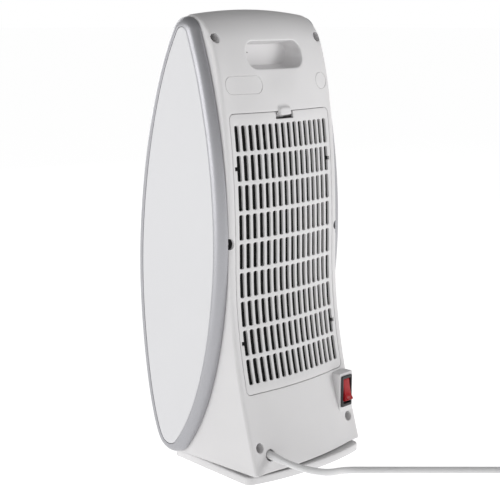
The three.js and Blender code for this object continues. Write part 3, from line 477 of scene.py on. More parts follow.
def fill(outer, holes, grid, creases=(), clear=0.8):
    """Triangulates a region. Returns the points (loops first, in order) and triangles."""
    loops = [outer, *holes, *creases]
    points = border = np.vstack(loops)
    if len(grid):
        grid = grid[within(grid, outer, holes)]
        tree = kdtree.KDTree(len(border))
        for i, (x, y) in enumerate(border):
            tree.insert((x, y, 0), i)
        tree.balance()
        away = [tree.find((x, y, 0))[2] > clear for x, y in grid]
        points = np.vstack([border, grid[np.array(away, bool)]])
    edges, first = [], 0
    for loop in loops:
        edges += [(first + i, first + (i + 1) % len(loop)) for i in range(len(loop))]
        first += len(loop)
    _, _, faces, origins, _, _ = delaunay_2d_cdt(
        [Vector((float(x), float(y))) for x, y in points], edges, [], 0, 1e-9)
    source = [ids[0] if ids else -1 for ids in origins]
    triangles = np.array([[source[k] for k in face] for face in faces if len(face) == 3])
    triangles = triangles[(triangles >= 0).all(1)]
    return points, triangles[within(points[triangles].mean(1), outer, holes)]


def loop_frame(place, loop, outward):
    """Point, outward normal, and the direction off the sheet, along a closed outline on a surface."""
    u, v = loop[:, 0], loop[:, 1]
    point = place(u, v, 0.0)
    normal = unit(point - place(u, v, 1.0))
    along = np.roll(point, -1, axis=0) - np.roll(point, 1, axis=0)
    side = unit(np.cross(normal, along))
    first_u, first_v, step = u[:1], v[:1], 0.01
    du = place(first_u + step, first_v, 0.0) - place(first_u - step, first_v, 0.0)
    dv = place(first_u, first_v + step, 0.0) - place(first_u, first_v - step, 0.0)
    hand = np.sign(np.dot(np.cross(du, dv)[0], normal[0]))
    return point, normal, side * hand * (-1 if outward else 1)


def fillet(radius, depth, direction=None, steps=3):
    """Rows that roll over an edge by a radius and drop to a depth."""
    def rows(point, normal, side):
        down = -normal if direction is None else np.broadcast_to(direction, normal.shape)
        corner = point + side * radius
        foot = corner + down * radius
        roll = [corner_curve(point, corner, foot, k / steps) for k in range(1, steps + 1)]
        return [*roll, corner + down * depth]
    return rows


def straight(depth):
    return lambda point, normal, side: [point - normal * depth]


def add_sheet(builder, place, outer, outer_rows, holes=(), grid=(), thick=2.0, grooves=(), clear=0.8):
    """A closed curved sheet. Each hole is (loop, rows, blind floor loop or None)."""
    grid = np.asarray(grid, float).reshape(-1, 2)
    groove_loops = [loop for loop, _ in grooves]
    points2, triangles = fill(outer, [hole[0] for hole in holes], grid, groove_loops, clear)
    u, v = points2[:, 0], points2[:, 1]
    sunk = np.zeros(len(points2))
    first = len(outer) + sum(len(hole[0]) for hole in holes)
    for loop, depth in grooves:
        sunk[first:first + len(loop)] = depth
        first += len(loop)
    top = builder.add(place(u, v, sunk))
    bottom = builder.add(place(u, v, thick)).copy()
    first = 0
    for number, (loop, rows, blind) in enumerate([(outer, outer_rows, None), *holes]):
        span_of_loop = np.arange(first, first + len(loop))
        first += len(loop)
        point, normal, side = loop_frame(place, loop, number == 0)
        indices = [top[span_of_loop]]
        for row in rows(point, normal, side):
            indices.append(builder.add(row))
            builder.bridge(indices[-2], indices[-1])
        if blind is None:
            bottom[span_of_loop] = indices[-1]
        else:
            builder.cap(indices[-1], loop)
            last = builder.points[-1] - normal * blind - side * blind
            back = builder.add(last)
            builder.bridge(bottom[span_of_loop], back)
            builder.cap(back, loop)
    builder.faces += [tuple(top[k] for k in triangle) for triangle in triangles]
    builder.faces += [tuple(bottom[k] for k in triangle[::-1]) for triangle in triangles]


def outline_normals(loop):
    along = unit(np.roll(loop, -1, axis=0) - np.roll(loop, 1, axis=0))
    return stacked(-along[:, 1], along[:, 0])


def add_plateau(builder, loop, section, place, closed=False):
    """Rows of one outline at insets and heights; the ends are filled, or closed on each other."""
    inward = outline_normals(loop)
    flats = [loop + inward * inset for inset, _ in section]
    rows = [place(flat[:, 0], flat[:, 1], height) for flat, (_, height) in zip(flats, section)]
    indices = builder.tube(rows, closed)
    if not closed:
        builder.cap(indices[0], flats[0])
        builder.cap(indices[-1], flats[-1])


def quarter(inset, height, radius, steps):
    """Section points that round an edge, from the wall to the top."""
    angles = np.radians(np.linspace(0, 90, steps + 1))
    return [(inset + radius * (1 - math.cos(a)), height - radius * (1 - math.sin(a))) for a in angles]


def add_box(builder, low, high, radius=0.4):
    """A block with rounded edges along Z."""
    loop = rounded(low[0], high[0], low[1], high[1], radius, count=4)
    section = [(radius, low[2]), (0, low[2] + radius), *quarter(0, high[2], radius, 3)]
    add_plateau(builder, loop, section, at_height)


def at_height(u, v, h):
    return stacked(u, v, h)


def along_x(u, v, h):
    return stacked(h, u, v)


def along_y(u, v, h):
    return stacked(u, h, v)


# ---- body form
FINE = 500
REAR = np.vstack([
    bezier((77.4, BODY_BOTTOM), (64, 56), (43.6, 123), (43.6, 199), FINE),
    bezier((43.6, 199), (43.6, 278), (38.4, 352), (19.2, 407), FINE)[1:],
])
CROWN = bezier((19.2, 407), (13, 424), (0, BODY_TOP), (-13, BODY_TOP), FINE)[1:]
FRONT = np.vstack([
    bezier((-46, BODY_BOTTOM), (-62, 45), (-74.5, 120), (-74.5, 185), FINE),
    bezier((-74.5, 185), (-74.5, 290), (-40, BODY_TOP), (-13, BODY_TOP), FINE)[1:],
])[::-1][1:]
PROFILE = np.vstack([REAR, CROWN, FRONT])
TRAVEL = np.concatenate([[0], np.cumsum(np.linalg.norm(np.diff(PROFILE, axis=0), axis=1))])
LENGTH = TRAVEL[-1]
CROWN_STRETCH = slice(len(REAR), len(REAR) + len(CROWN) + FINE)
PARTING = float(np.interp(-PARTING_Y, -PROFILE[CROWN_STRETCH, 0], TRAVEL[CROWN_STRETCH]))
REAR_STRETCH = slice(0, len(REAR) + FINE // 2)
REAR_TOP = float(np.interp(426, PROFILE[REAR_STRETCH, 1], TRAVEL[REAR_STRETCH]))
FRONT_TOP = float(np.interp(-418, -PROFILE[-len(FRONT):, 1], TRAVEL[-len(FRONT):]))


def body_surface(x, s):
    """The skin at a distance across and a travel along the side profile."""
    y = np.interp(s, TRAVEL, PROFILE[:, 0])
    z = np.interp(s, TRAVEL, PROFILE[:, 1])
    share = np.abs(x) / HALF_WIDTH
    across = share ** 2
    flat = across - 0.4 * (np.clip(share - 0.7, 0, 1) / 0.3) ** 2
    edge = np.clip((share - EDGE_SHARE) / (1 - EDGE_SHARE), 0, 1)
    roll = EDGE_ROUND * (1 - np.sqrt(1 - edge * edge))
    tuck = np.clip(1 - np.minimum(s, LENGTH - s) / BOTTOM_ROLL, 0, 1)
    roll_in = roll + BOTTOM_ROLL * (1 - np.sqrt(1 - tuck * tuck))
    rear_bow = REAR_BOW * (1 - 0.38 * smooth(z, CROWN_FOOT, 415)) * flat
    forward = (1 - smooth(y, -60, PARTING_Y)) * (FRONT_BOW * across + roll_in)
    back = smooth(y, PARTING_Y, 12) * (rear_bow + roll_in)
    return stacked(x, y + forward - back, z - smooth(z, CROWN_FOOT, 425) * (CROWN_DROP * across + roll))


def body(u, v, depth):
    """The body's skin: u across, v along the side profile, depth below the surface."""
    u, v = np.asarray(u, float), np.asarray(v, float)
    u0, u1 = (np.clip(u + step, -HALF_WIDTH, HALF_WIDTH) for step in (-0.001, 0.001))
    v0, v1 = (np.clip(v + step, 0, LENGTH) for step in (-0.5, 0.5))
    along = body_surface(u, v1) - body_surface(u, v0)
    normal = unit(np.cross(along, body_surface(u1, v) - body_surface(u0, v)))
    return body_surface(u, v) - normal * np.reshape(depth, (-1, 1))


def below(extra):
    """The body's skin, sunk by a depth."""
    return lambda u, v, depth: body(u, v, np.reshape(depth, -1) + extra)


def travel_at(x, z, rear=True):
    """Distance along the profile at which the skin reaches a height."""
    low = np.full(len(x), 0.0 if rear else FRONT_TOP)
    high = np.full(len(x), REAR_TOP if rear else LENGTH)
    for _ in range(36):
        middle = (low + high) / 2
        past = (body_surface(x, middle)[:, 2] > z) == rear
        low, high = np.where(past, low, middle), np.where(past, middle, high)
    return (low + high) / 2


def on_skin(loop, rear=True):
    """An outline in (x, z) as one in (x, travel), counter-clockwise."""
    result = stacked(loop[:, 0], travel_at(loop[:, 0], loop[:, 1], rear))
    return result if rear else result[::-1]


def skin_grid(s0, s1, step, notch=()):
    """The border of a stretch of skin, and points inside it that are close together where it curves."""
    stations = np.linspace(s0, s1, int((s1 - s0) / step) + 1)
    if len(notch):
        stations = stations[(stations < notch[0]) | (stations > notch[1])]
        curved = np.mean(notch) - (notch[1] - notch[0]) / 2 * np.cos(np.linspace(0, math.pi, 15))
        stations = np.concatenate([stations, curved])
    stations = np.unique(np.concatenate([stations, BOTTOM_STEPS if s0 == 0 else LENGTH - BOTTOM_STEPS]))
    flat = EDGE_SHARE * HALF_WIDTH
    roll = HALF_WIDTH * (EDGE_SHARE + (1 - EDGE_SHARE) * np.sin(np.radians([18, 36, 54, 72, 90])))
    columns = np.concatenate([-roll[::-1], np.linspace(-flat, flat, int(2 * flat / step) + 1), roll])
    edge = np.vstack([
        stacked(columns, s0), stacked(columns[-1], stations)[1:],
        stacked(columns, s1)[::-1][1:], stacked(columns[0], stations)[::-1][1:-1],
    ])
    return edge, lattice(columns[1:-1], stations[1:-1])


def scoop(x, z):
    """Hollow below the handle that leads the fingers in."""
    up = smooth(z, 346, 378) * (1 - smooth(z, 379.5, 384))
    return 1.9 * up ** 1.3 * (1 - smooth(np.abs(x), 8, 34))


def rear_body(u, v, depth):
    height = body_surface(np.asarray(u, float), np.asarray(v, float))[:, 2]
    hollow = np.where(np.asarray(v) < REAR_TOP, scoop(np.asarray(u), height), 0)
    return body(u, v, np.reshape(depth, -1) + hollow)


# ---- rear housing
def outline_of(spec, grow, count=7, longest=3.0):
    """A rounded rectangle about the middle plane, from its named sizes."""
    x, corner = spec["x"], spec["corner"]
    return densify(rounded(-x, x, spec["low"], spec["high"], corner, grow, count), longest)


def with_notch(loop, half, low, top):
    """Cuts the latch's notch into the top side of a counter-clockwise outline."""
    upper = (loop[:, 1] > top - 0.01) & (np.abs(loop[:, 0]) < half + 1)
    start = int(np.flatnonzero(upper)[0])
    kept = loop[~upper]
    right = np.array([(half, top), (half, low + 0.8), (half - 0.8, low)])
    path = np.vstack([right, right[::-1] * (-1, 1)])
    pieces = [path[0]]
    for a, b in zip(path, path[1:]):
        count = max(1, int(np.linalg.norm(b - a) / 2.5))
        pieces += [a + (b - a) * k / count for k in range(1, count + 1)]
    return np.vstack([kept[:start], pieces, kept[start:]])


def handle_rows(point, normal, side):
    """The carry recess: a soft lip, a straight wall and a rounded foot on a flat floor."""
    lip, foot = HANDLE["lip"], HANDLE["foot"]
    rows = fillet(lip, lip, -REARWARD, 5)(point, normal, side)[:-1]
    wall = rows[-1]
    across = unit(side * (1, 0, 1))
    base = wall * (1, 0, 1) + REARWARD * HANDLE["floor"]
    rows += [wall + (base + REARWARD * foot - wall) * share for share in (0.35, 0.7)]
    for angle in np.radians([0, 18, 36, 54, 72, 90]):
        rows.append(base + REARWARD * foot * (1 - math.sin(angle)) + across * foot * (1 - math.cos(angle)))
    return rows


def stadium(x0, x1, z0, z1, grow=0.0):
    return densify(rounded(x0, x1, z0, z1, (z1 - z0) / 2 - 0.01, grow, 12), 2.0)


def groove(outline):
    """Three lines of a shallow groove: its two sides and its bottom."""
    return [(on_skin(outline(grow)), depth) for grow, depth in ((0.45, 0.0), (0.0, 0.6), (-0.45, 0.0))]


def pry_span():
    """Travel along the profile where the half-round pry notch starts and ends."""
    return travel_at(np.array([HALF_WIDTH] * 2), PRY["z"] + PRY["radius"] * np.array([-1, 1]))


def bite_notches(edge):
    """Cuts the half-round notches into both sides of the rear skin's outline."""
    low, high = pry_span()
    middle, reach = (low + high) / 2, (high - low) / 2
    result = []
    for u, v in edge:
        depth = 1 - ((v - middle) / reach) ** 2
        bite = PRY["radius"] * math.sqrt(depth) if depth > 0 and abs(u) > HALF_WIDTH - 0.01 else 0.0
        result.append((u - math.copysign(bite, u), v))
    return np.array(result)


def opening(loop, roll, depth, rear=True):
    """A hole through the skin with a rounded edge."""
    return on_skin(loop, rear), fillet(roll, depth), None


def add_side_plate(builder, side, rear):
    """The housing's flat flank, from the skin's edge to the parting line."""
    s0, s1 = (0, PARTING) if rear else (PARTING + GAP, LENGTH)
    stations = np.unique(np.concatenate([np.linspace(s0, s1, 160), BOTTOM_STEPS if rear else [s0]]))
    if rear:
        low, high = pry_span()
        stations = np.unique(np.concatenate([stations, [low - 0.01, low + 0.01, high - 0.01, high + 0.01]]))
    outline = body_surface(np.full(len(stations), side * HALF_WIDTH), stations)[:, 1:3]
    if rear:
        outline[(stations > low) & (stations < high), 0] -= PRY["depth"]
    parting = PARTING_Y + (GAP / 2 if rear else -GAP / 2)
    ends = np.array([(parting, outline[-1 if rear else 0, 1]), (parting, outline[:, 1].min())])
    loop = densify(np.vstack([outline, ends if rear else ends[::-1]]), 12.0)
    if np.sum(loop[:, 0] * np.roll(loop[:, 1], -1) - np.roll(loop[:, 0], -1) * loop[:, 1]) < 0:
        loop = loop[::-1]
    add_plateau(builder, loop, [(0, side * (HALF_WIDTH - SHELL)), (0, side * HALF_WIDTH)], along_x)


def add_floor(builder, y0, y1, holes=()):
    x = HALF_WIDTH - 4
    loop = densify(np.array([(-x, y0), (x, y0), (x, y1), (-x, y1)]), 10.0)
    place = lambda u, v, depth: stacked(u, v, BODY_BOTTOM + 0.05 + depth)
    add_sheet(builder, place, loop, straight(SHELL), holes, (), SHELL)


def facing(level):
    """A flat surface that faces the rear."""
    return lambda u, v, depth: stacked(u, level - depth, v)


def make_rear_housing():
    builder = Builder()
    edge, grid = skin_grid(0, PARTING, 3.2, pry_span())
    edge = bite_notches(edge)
    handle = on_skin(outline_of(HANDLE, HANDLE["lip"], 14, 2.0))
    holes = [
        opening(outline_of(COVER, COVER["gap"] + 0.5), 0.5, SHELL),
        (handle, handle_rows, SHELL / 2),
        (on_skin(circle(EXIT[0], EXIT[2], 5.4 + 0.4, 32)), fillet(0.4, SHELL, -REARWARD), None),
    ]
    for side in (-1, 1):
        for x, z, _ in SCREWS:
            loop = on_skin(circle(side * x, z, SCREW_RECESS + 0.6, 32))
            holes.append((loop, fillet(0.6, SCREW_DEPTH + 3, -REARWARD), SHELL / 3))
    pill = groove(lambda grow: stadium(24, 68, 356.6, 372.7, grow))
    ring = groove(lambda grow: circle(-62.2, 365.1, 7.9 + grow, 40))
    add_sheet(builder, rear_body, edge, straight(SHELL), holes, grid, SHELL, pill + ring, 0.7)

    ledge = on_skin(outline_of(COVER, 3.0))
    holes = [opening(outline_of(COVER, -4.0), 0.4, SHELL)]
    add_sheet(builder, below(COVER["ledge"]), ledge, straight(SHELL), holes, (), SHELL)
    for side in (-1, 1):
        add_side_plate(builder, side, True)
    add_floor(builder, PARTING_Y + 0.2, 62.0, [(circle(0, PIVOT_Y, 21.0, 40), straight(SHELL), None)])
    add_pod(builder)
    return builder.finish("rear_shell", "shell", "housing", ["rear_housing"])


def switch_loop(half_width, half_height, radius, grow=0.0, count=6):
    x, z = SWITCH["x"], SWITCH["z"]
    return rounded(x - half_width, x + half_width, z - half_height, z + half_height, radius, grow, count)


def add_pod(builder):
    """The switch's boss: a block with rounded edges, flat face and a hole for the switch."""
    radius, wall = 1.4, POD["wall"]
    loop = densify(rounded(POD["left"], POD["right"], POD["low"], POD["high"], 2.2, -radius, 6), 3.0)
    hole = densify(switch_loop(6.8, 13.9, 0.6), 3.0)

    def skirt(point, normal, side):
        rows = fillet(radius, POD["deep"], None, 5)(point, normal, side)
        back = rows[-1] - side * wall
        return [*rows, back, back + normal * (POD["deep"] - wall)]

    add_sheet(builder, facing(SWITCH["face"]), loop, skirt, [(hole, straight(wall), None)], (), wall)


def make_painted_shade_marks():
    """Painted shade: dark half-rings and floors inside the two half-round notches, and the handle's gate
    mark, a dark dot that paints the shade of a small hole.
    """
    builder = Builder()
    floor = HANDLE["floor"]
    # dark dot on the handle's floor that paints the shade of the small gate hole
    add_plateau(builder, circle(17.8, 392.8, 0.6, 12), [(0, floor - 0.3), (0, floor + 0.06)], along_y)
    radius, wall = PRY["radius"] - 0.45, 0.44
    edge = body_surface(np.array([HALF_WIDTH]), travel_at(np.array([HALF_WIDTH]), np.array([PRY["z"]])))[0, 1]
    foot = edge - PRY["depth"]
    # dark half-ring wall and floor that paint the shade inside each half-round notch
    notch_shade = np.vstack([arc(0, 0, radius, 90, 270, 17), arc(0, 0, radius + wall, 270, 90, 17)])
    notch_floor_shade = arc(0, 0, radius + 0.4, 90, 270, 17)
    for side in (-1, 1):
        for shape, low, high in ((notch_shade, foot - 1.5, edge - 0.15), (notch_floor_shade, foot - 1.2, foot)):
            loop = shape * (side, 1) + (side * HALF_WIDTH, PRY["z"])
            add_plateau(builder, loop[::side], [(0, low), (0, high)], along_y)
    return builder.finish("painted_shade_marks", "dark", "housing")


# ---- filter cover, latch
def slot_outline(column, row, grow):
    """One air slot; the end slots of the second and last-but-one rows carry a hook notch."""
    x = (column - (SLOT["columns"] - 1) / 2) * SLOT["pitch_x"]
    top = SLOT["top"] - row * SLOT["pitch_z"]
    half = SLOT["width"] / 2
    loop = rounded(x - half, x + half, top - SLOT["length"], top, SLOT["corner"], grow, 4)
    if column in (0, SLOT["columns"] - 1) and row in (1, SLOT["rows"] - 2):
        side = -1 if column == 0 else 1
        middle, tall = top - SLOT["length"] / 2, HOOK["height"] / 2 + grow
        edge, reach = (x + side * (half + grow + out) for out in (0, HOOK["width"]))
        low, high = middle - tall, middle + tall
        hook = np.array([(edge, low), (reach, low), (reach, high), (edge, high)])
        start = 4 if side > 0 else 12
        loop = np.vstack([loop[:start], hook[::side], loop[start:]])
    return densify(loop, 4.0)


def make_filter_cover():
    builder = Builder()
    roll = 0.5
    outline = with_notch(outline_of(COVER, -roll), LATCH["slot_half"] + roll, LATCH["slot_low"] - roll,
                         COVER["high"] - roll)
    holes = [(on_skin(slot_outline(column, row, 0.25)), fillet(0.25, COVER["thick"], None, 2), None)
             for row in range(SLOT["rows"]) for column in range(SLOT["columns"])]
    columns = np.arange(-SLOT["columns"] / 2, SLOT["columns"] / 2 + 1) * SLOT["pitch_x"]
    rows = SLOT["top"] + 1.7 - np.arange(SLOT["rows"] + 1) * SLOT["pitch_z"]
    grid = on_skin(lattice(columns, np.concatenate([rows, rows - 9, rows - 18, [86, 334.5]])))
    add_sheet(builder, body, on_skin(outline), fillet(roll, COVER["thick"]), holes, grid, COVER["thick"])
    return builder.finish("rear_filter_cover", "shell", "cover", ["filter_cover"])


def make_latch():
    """A finger tab that swells out of the skin above its slot."""
    builder = Builder()
    under, edge = 0.12, 0.3

    def height(u, z):
        arch = LATCH["high"] - 0.3 - 1.4 * (u / LATCH["half"]) ** 2
        inside_ends = 1 - smooth(np.abs(u), 6.6, LATCH["half"] - 0.1)
        return edge + LATCH["rise"] * (1 - smooth(z, arch - 2.6, arch)) * inside_ends

    def place(u, v, d):
        u, v = np.asarray(u, float), np.asarray(v, float)
        swell = height(u, body_surface(u, v)[:, 2])
        return body(u, v, -np.where(np.broadcast_to(d, len(u)) > 0, under, swell))

    outline = rounded(-LATCH["half"], LATCH["half"], LATCH["low"], LATCH["high"], 3.2, 0.0, 8)
    low = outline[:, 1] < LATCH["low"] + 3.2
    outline[low, 1] += 0.9 * (outline[low, 0] / LATCH["half"]) ** 2
    outline = densify(outline, 1.2)
    tall = (height(outline[:, 0], outline[:, 1]) - under)[:, None]

    def rows(point, normal, side):
        roll = np.minimum(0.9, 0.5 * tall)
        corner = point + side * roll
        foot = corner - normal * roll
        curve = [corner_curve(point, corner, foot, t) for t in (0.25, 0.5, 0.75, 1.0)]
        return [*curve, corner - normal * tall]

    grid = on_skin(lattice(np.arange(-8, 8.1, 1.0), np.arange(337, 345, 1.0)))
    add_sheet(builder, place, on_skin(outline), rows, (), grid, 1.0, (), 0.4)
    add_box(builder, (-LATCH["half"], 27.0, 336.2), (LATCH["half"], 34.0, 338.7), 0.5)
    return builder.finish("latch_tab", "shell", "latch", ["cover_latch"])


def make_dust_mesh():
    builder = Builder()
    outline = densify(rounded(-64.4, 64.4, 86.0, 332.5, 2.0), 6.0)
    grid = on_skin(lattice(np.arange(-60, 61, 6.0), np.arange(92, 330, 8.0)))
    add_sheet(builder, below(2.5), on_skin(outline), straight(1.2), (), grid, 1.2)
    return builder.finish("dust_mesh", "filter", "cover", ["dust_filter"])


# ---- front housing, grille, controls
def make_front_housing():
    builder = Builder()
    edge, grid = skin_grid(PARTING + GAP, LENGTH, 3.6)
    holes = [opening(outline_of(OUTLET, GAP + 0.6), 0.6, SHELL, False),
             opening(outline_of(FASCIA, GAP + 0.5, 8), 0.5, SHELL, False)]
    add_sheet(builder, body, edge, straight(SHELL), holes, grid, SHELL, (), 0.7)
    for side in (-1, 1):
        add_side_plate(builder, side, False)
    add_floor(builder, -47.0, PARTING_Y - 0.2)
    return builder.finish("front_shell", "shell", "housing", ["front_housing"])


def make_outlet_grille():
    """Air outlet: a frame with rounded slats that run deep into the duct."""
    builder = Builder()
    pitch = (OUTLET["high"] - OUTLET["low"] - 2 * OUTLET["border"]) / OUTLET["slats"]
    edges = [-46.0, -24.15, 0.0, 24.15, 46.0]
    roll, slat, bar = 0.45, 1.2, 1.2
    holes = []
    for index in range(OUTLET["slats"]):
        low = OUTLET["low"] + OUTLET["border"] + index * pitch + slat
        for x0, x1 in zip(edges, edges[1:]):
            loop = densify(rounded(x0 + bar, x1 - bar, low, low + pitch - 2 * slat, 1.2, roll, 4), 4.0)
            holes.append((on_skin(loop, False), fillet(roll, 4.4, REARWARD, 2), None))
    loop = on_skin(outline_of(OUTLET, -roll), False)
    add_sheet(builder, below(0.3), loop, fillet(roll, 2.0), holes, (), 2.0)
    return builder.finish("outlet_louvre", "grille", "housing", ["outlet_grille"])


def button_x(index):
    return (index - (len(KEYS) - 1) / 2) * BUTTON["pitch"]


def make_fascia():
    builder = Builder()
    roll = 0.5
    holes = [opening(outline_of(LENS, GAP + 0.3, 6), 0.3, 2.0, False)]
    for index in range(len(KEYS)):
        loop = circle(button_x(index), BUTTON["z"], BUTTON["radius"] + 0.7)
        holes.append(opening(loop, 0.3, 2.0, False))
    grid = on_skin(lattice(np.arange(-34, 35, 4.0), np.arange(354, 401, 4.0)), False)
    loop = on_skin(outline_of(FASCIA, -roll, 8), False)
    add_sheet(builder, body, loop, fillet(roll, 2.0), holes, grid, 2.0)
    return builder.finish("fascia_plate", "silver", "housing", ["control_fascia"])


def make_lens():
    builder = Builder()
    roll = 0.3
    grid = on_skin(lattice(np.arange(-16, 17, 4.0), np.arange(380, 390, 4.0)), False)
    loop = on_skin(outline_of(LENS, -roll, 6), False)
    add_sheet(builder, below(GAP), loop, fillet(roll, 1.7), (), grid, 1.7)
    return builder.finish("display_window", "lens", "housing", ["display_lens"])


def make_button(index):
    """A round key with a dished top."""
    builder = Builder()
    key = KEYS[index]
    spot = on_skin(np.array([[button_x(index), BUTTON["z"]]]), False).T
    centre = body(*spot, 0.0)[0]
    out = centre - body(*spot, 1.0)[0]
    up = unit([UP - out * np.dot(UP, out)])[0]
    right = np.cross(up, out)
    place = lambda u, v, h: centre + np.outer(u, right) + np.outer(v, up) + out * h
    proud, radius = BUTTON["proud"], BUTTON["radius"]
    section = [(3.0, -5.6), (3.0, -2.2), (0.3, -2.2), (0, -1.9), (0, proud - 0.9),
               *quarter(0, proud, 0.9, 4)[1:], (1.5, proud - 0.12), (2.6, proud - 0.42), (3.8, proud - 0.6)]
    add_plateau(builder, circle(0, 0, radius, 40), section, place)
    return builder.finish(f"{key}_key", "key", f"{key}_button", [f"button_{key}"])


# ---- side rims and panels
def trim_outline():
    top = arc(-13, 411, 16, 20, 150, 22)
    foot = arc(-36, 31, 21, 215, 320, 18)
    front, rear = (-79.5, 185), (36, 222)
    return np.vstack([
        top, bezier(top[-1], (-59.9, 361.8), (-79.5, 260), front, 34)[1:],
        bezier(front, (-79.5, 120), (-67.5, 39.5), foot[0], 26)[1:], foot[1:],
        bezier(foot[-1], (18.7, 63.5), (35.5, 150), rear, 34)[1:],
        bezier(rear, (36, 290), (22.4, 360), top[0], 34)[1:-1],
    ])


def lean(side):
    """Places a rim's section; its face leans in a little towards the lowered top."""
    def place(u, v, h):
        share = (h - TRIM["inner"]) / (TRIM["outer"] - TRIM["inner"])
        x = h - TRIM["lean"] * smooth(v, 320, 430) * share
        return stacked(side * x, u, v - TRIM["drop"] * smooth(v, 370, 427))
    return place


def make_trim(side, word):
    builder = Builder()
    outer, radius = TRIM["outer"], TRIM["round"]
    section = [(0.5, TRIM["inner"]), (0, TRIM["inner"] + 0.5), *quarter(0, outer, radius, 12),
               (radius + 0.12, outer - 0.05), (radius + 0.2, outer - 0.2), (radius + 0.2, TRIM["lip"]),
               (radius + 5, TRIM["lip"]), (radius + 5, TRIM["inner"])]
    add_plateau(builder, trim_outline(), section, lean(side), True)
    return builder.finish(f"{word}_rim", "silver", "housing", [f"side_trim_{word}"])


def make_panel(side, word):
    builder = Builder()
    inset, top = TRIM["round"] + 0.55, TRIM["outer"] - 0.25
    section = [(inset, 81.0), (inset, top - 0.5), *quarter(inset, top, 0.5, 3)[1:], (inset + 3, top)]
    add_plateau(builder, trim_outline(), section, lean(side))
    return builder.finish(f"{word}_panel", "panel", "housing", [f"side_panel_{word}"])


# ---- rocker switch
def make_switch():
    builder = Builder()
    face, radius = SWITCH["face"], 0.7
    outer = densify(switch_loop(SWITCH["width"] / 2, SWITCH["height"] / 2, 1.2, -radius, 5), 3.0)
    well = (densify(switch_loop(5.7, 12.8, 0.5, 0.3, 4), 3.0), fillet(0.3, 13.4, None, 2), 1.0)
    add_sheet(builder, facing(face + 1.9), outer, fillet(radius, 1.6, None, 4), [well], (), 1.4)
    section = [(0.4, face - 17), (0, face - 16.6), (0, face - 12)]
    add_plateau(builder, densify(switch_loop(6.5, 13.5, 0.6), 4.0), section, along_y)
    return builder.finish("switch_housing", "black", "housing", ["switch_body"])


def make_rocker():
    """The red key: a slightly dished face, its lower end out."""
    builder = Builder()
    face = bezier((8.2, -7.5), (5.0, -4.4), (3.5, 2.5), (2.7, 11.2), 18)
    nose = arc(7.4, -7.6, 0.85, -75, 5, 6)
    back = [(-7, 5), (-7, -5), (0.5, -10.6), (3.6, -10.4)]
    loop = densify(np.vstack([back, nose, face[1:], [(2.3, 12.0), (-0.5, 12.2)]])
                   + (SWITCH["face"] - 2, SWITCH["z"]), 3.0)
    side = quarter(0, 4.9, 0.8, 4)
    section = [*[(inset, SWITCH["x"] - out) for inset, out in side[::-1]],
               *[(inset, SWITCH["x"] + out) for inset, out in side]]
    add_plateau(builder, loop, section, along_x)
    return builder.finish("red_rocker", "red", "rocker", ["rocker_key"])


# ---- screws
def make_screw(side, screw, word):
    """A cross-head screw at the foot of its recess."""
    builder = Builder()
    x, z, surface = screw
    seat = surface - SCREW_DEPTH + GAP
    top, slim = seat + 1.7, 0.55
    arm = np.array([(2.0, -slim), (2.0, slim), (slim, slim)])
    arms = []
    for _ in range(4):
        arms.append(arm)
        arm = stacked(-arm[:, 1], arm[:, 0])
    cross = np.vstack(arms) + (side * x, z)
    add_sheet(builder, facing(top), circle(side * x, z, 2.4, 32), fillet(0.8, 1.7, None, 4),
              [(cross, straight(0.9), 0.3)], (), 1.6, (), 0.2)
    add_plateau(builder, circle(side * x, z, 1.5, 16), [(0.6, seat - 13), (0, seat - 12), (0, seat)], along_y)
    return builder.finish(f"{word}_screw", "screw", "housing", [f"screw_{word}"])


# ---- base
def base_outline():
    """Plan of the base about the turntable, bowed at the rear, before it is turned."""
    x, front, rear, corner, bow = 74.0, -56.0, 54.0, 6.5, 13.5
    left = bezier((x, rear - corner), (x, rear - corner / 3), (x - corner / 3, rear + 1.4),
                  (x - corner, rear + 2.2), 9)
    back = bezier(left[-1], (30, rear + bow), (-30, rear + bow), left[-1] * (-1, 1), 30)[1:]
    front_left = arc(x - corner, front + corner, corner, 270, 360, 9)
    front_right = front_left[::-1] * (-1, 1)
    rear_right = (left[::-1] * (-1, 1))[1:]
    return densify(np.vstack([front_right, front_left, left, back, rear_right]), 8.0)


def make_base():
    builder = Builder()

    def place(u, v, h):
        x, y = rotated(u, v, BASE_TURN)
        return stacked(x, y + PIVOT_Y, h)

    section = [(3, 5.7), (3, 1.1), (2.7, 0.8), (0.5, 0.8), (0.15, 0.95), (0, 1.3), *quarter(0, 8.2, 1.5, 5)]
    add_plateau(builder, base_outline(), section, place)
    hub = [(0, 8.0), (0, 15.2), (0.5, 15.7), (4, 15.7), (4, 8.0)]
    add_plateau(builder, circle(0, 0, 20, 48), hub, place, True)
    return builder.finish("turntable_base", "shell", "base", ["base_plate"])


# ---- lead's strain relief and plug
def make_relief():
    """A slim tapered sleeve from inside the wall to where the lead hangs free."""
    builder = Builder()
    profile = [(3.2, -18), (7, -18), (7, -14.3), (4.4, -13), (4.0, -6), (3.85, 0), (3.7, 6), (3.5, 12),
               (3.38, 14.2), (3.2, 14.6)]
    ring = circle(0, 0, 1.0, 28)
    rows = []
    for radius, along in profile:
        y, z = rotated(along, ring[:, 1] * radius, RELIEF_TILT)
        rows.append(stacked(ring[:, 0] * radius, y, z) + EXIT)
    builder.tube(rows, True)
    return builder.finish("lead_relief", "cord", "housing", ["cord_gland"])


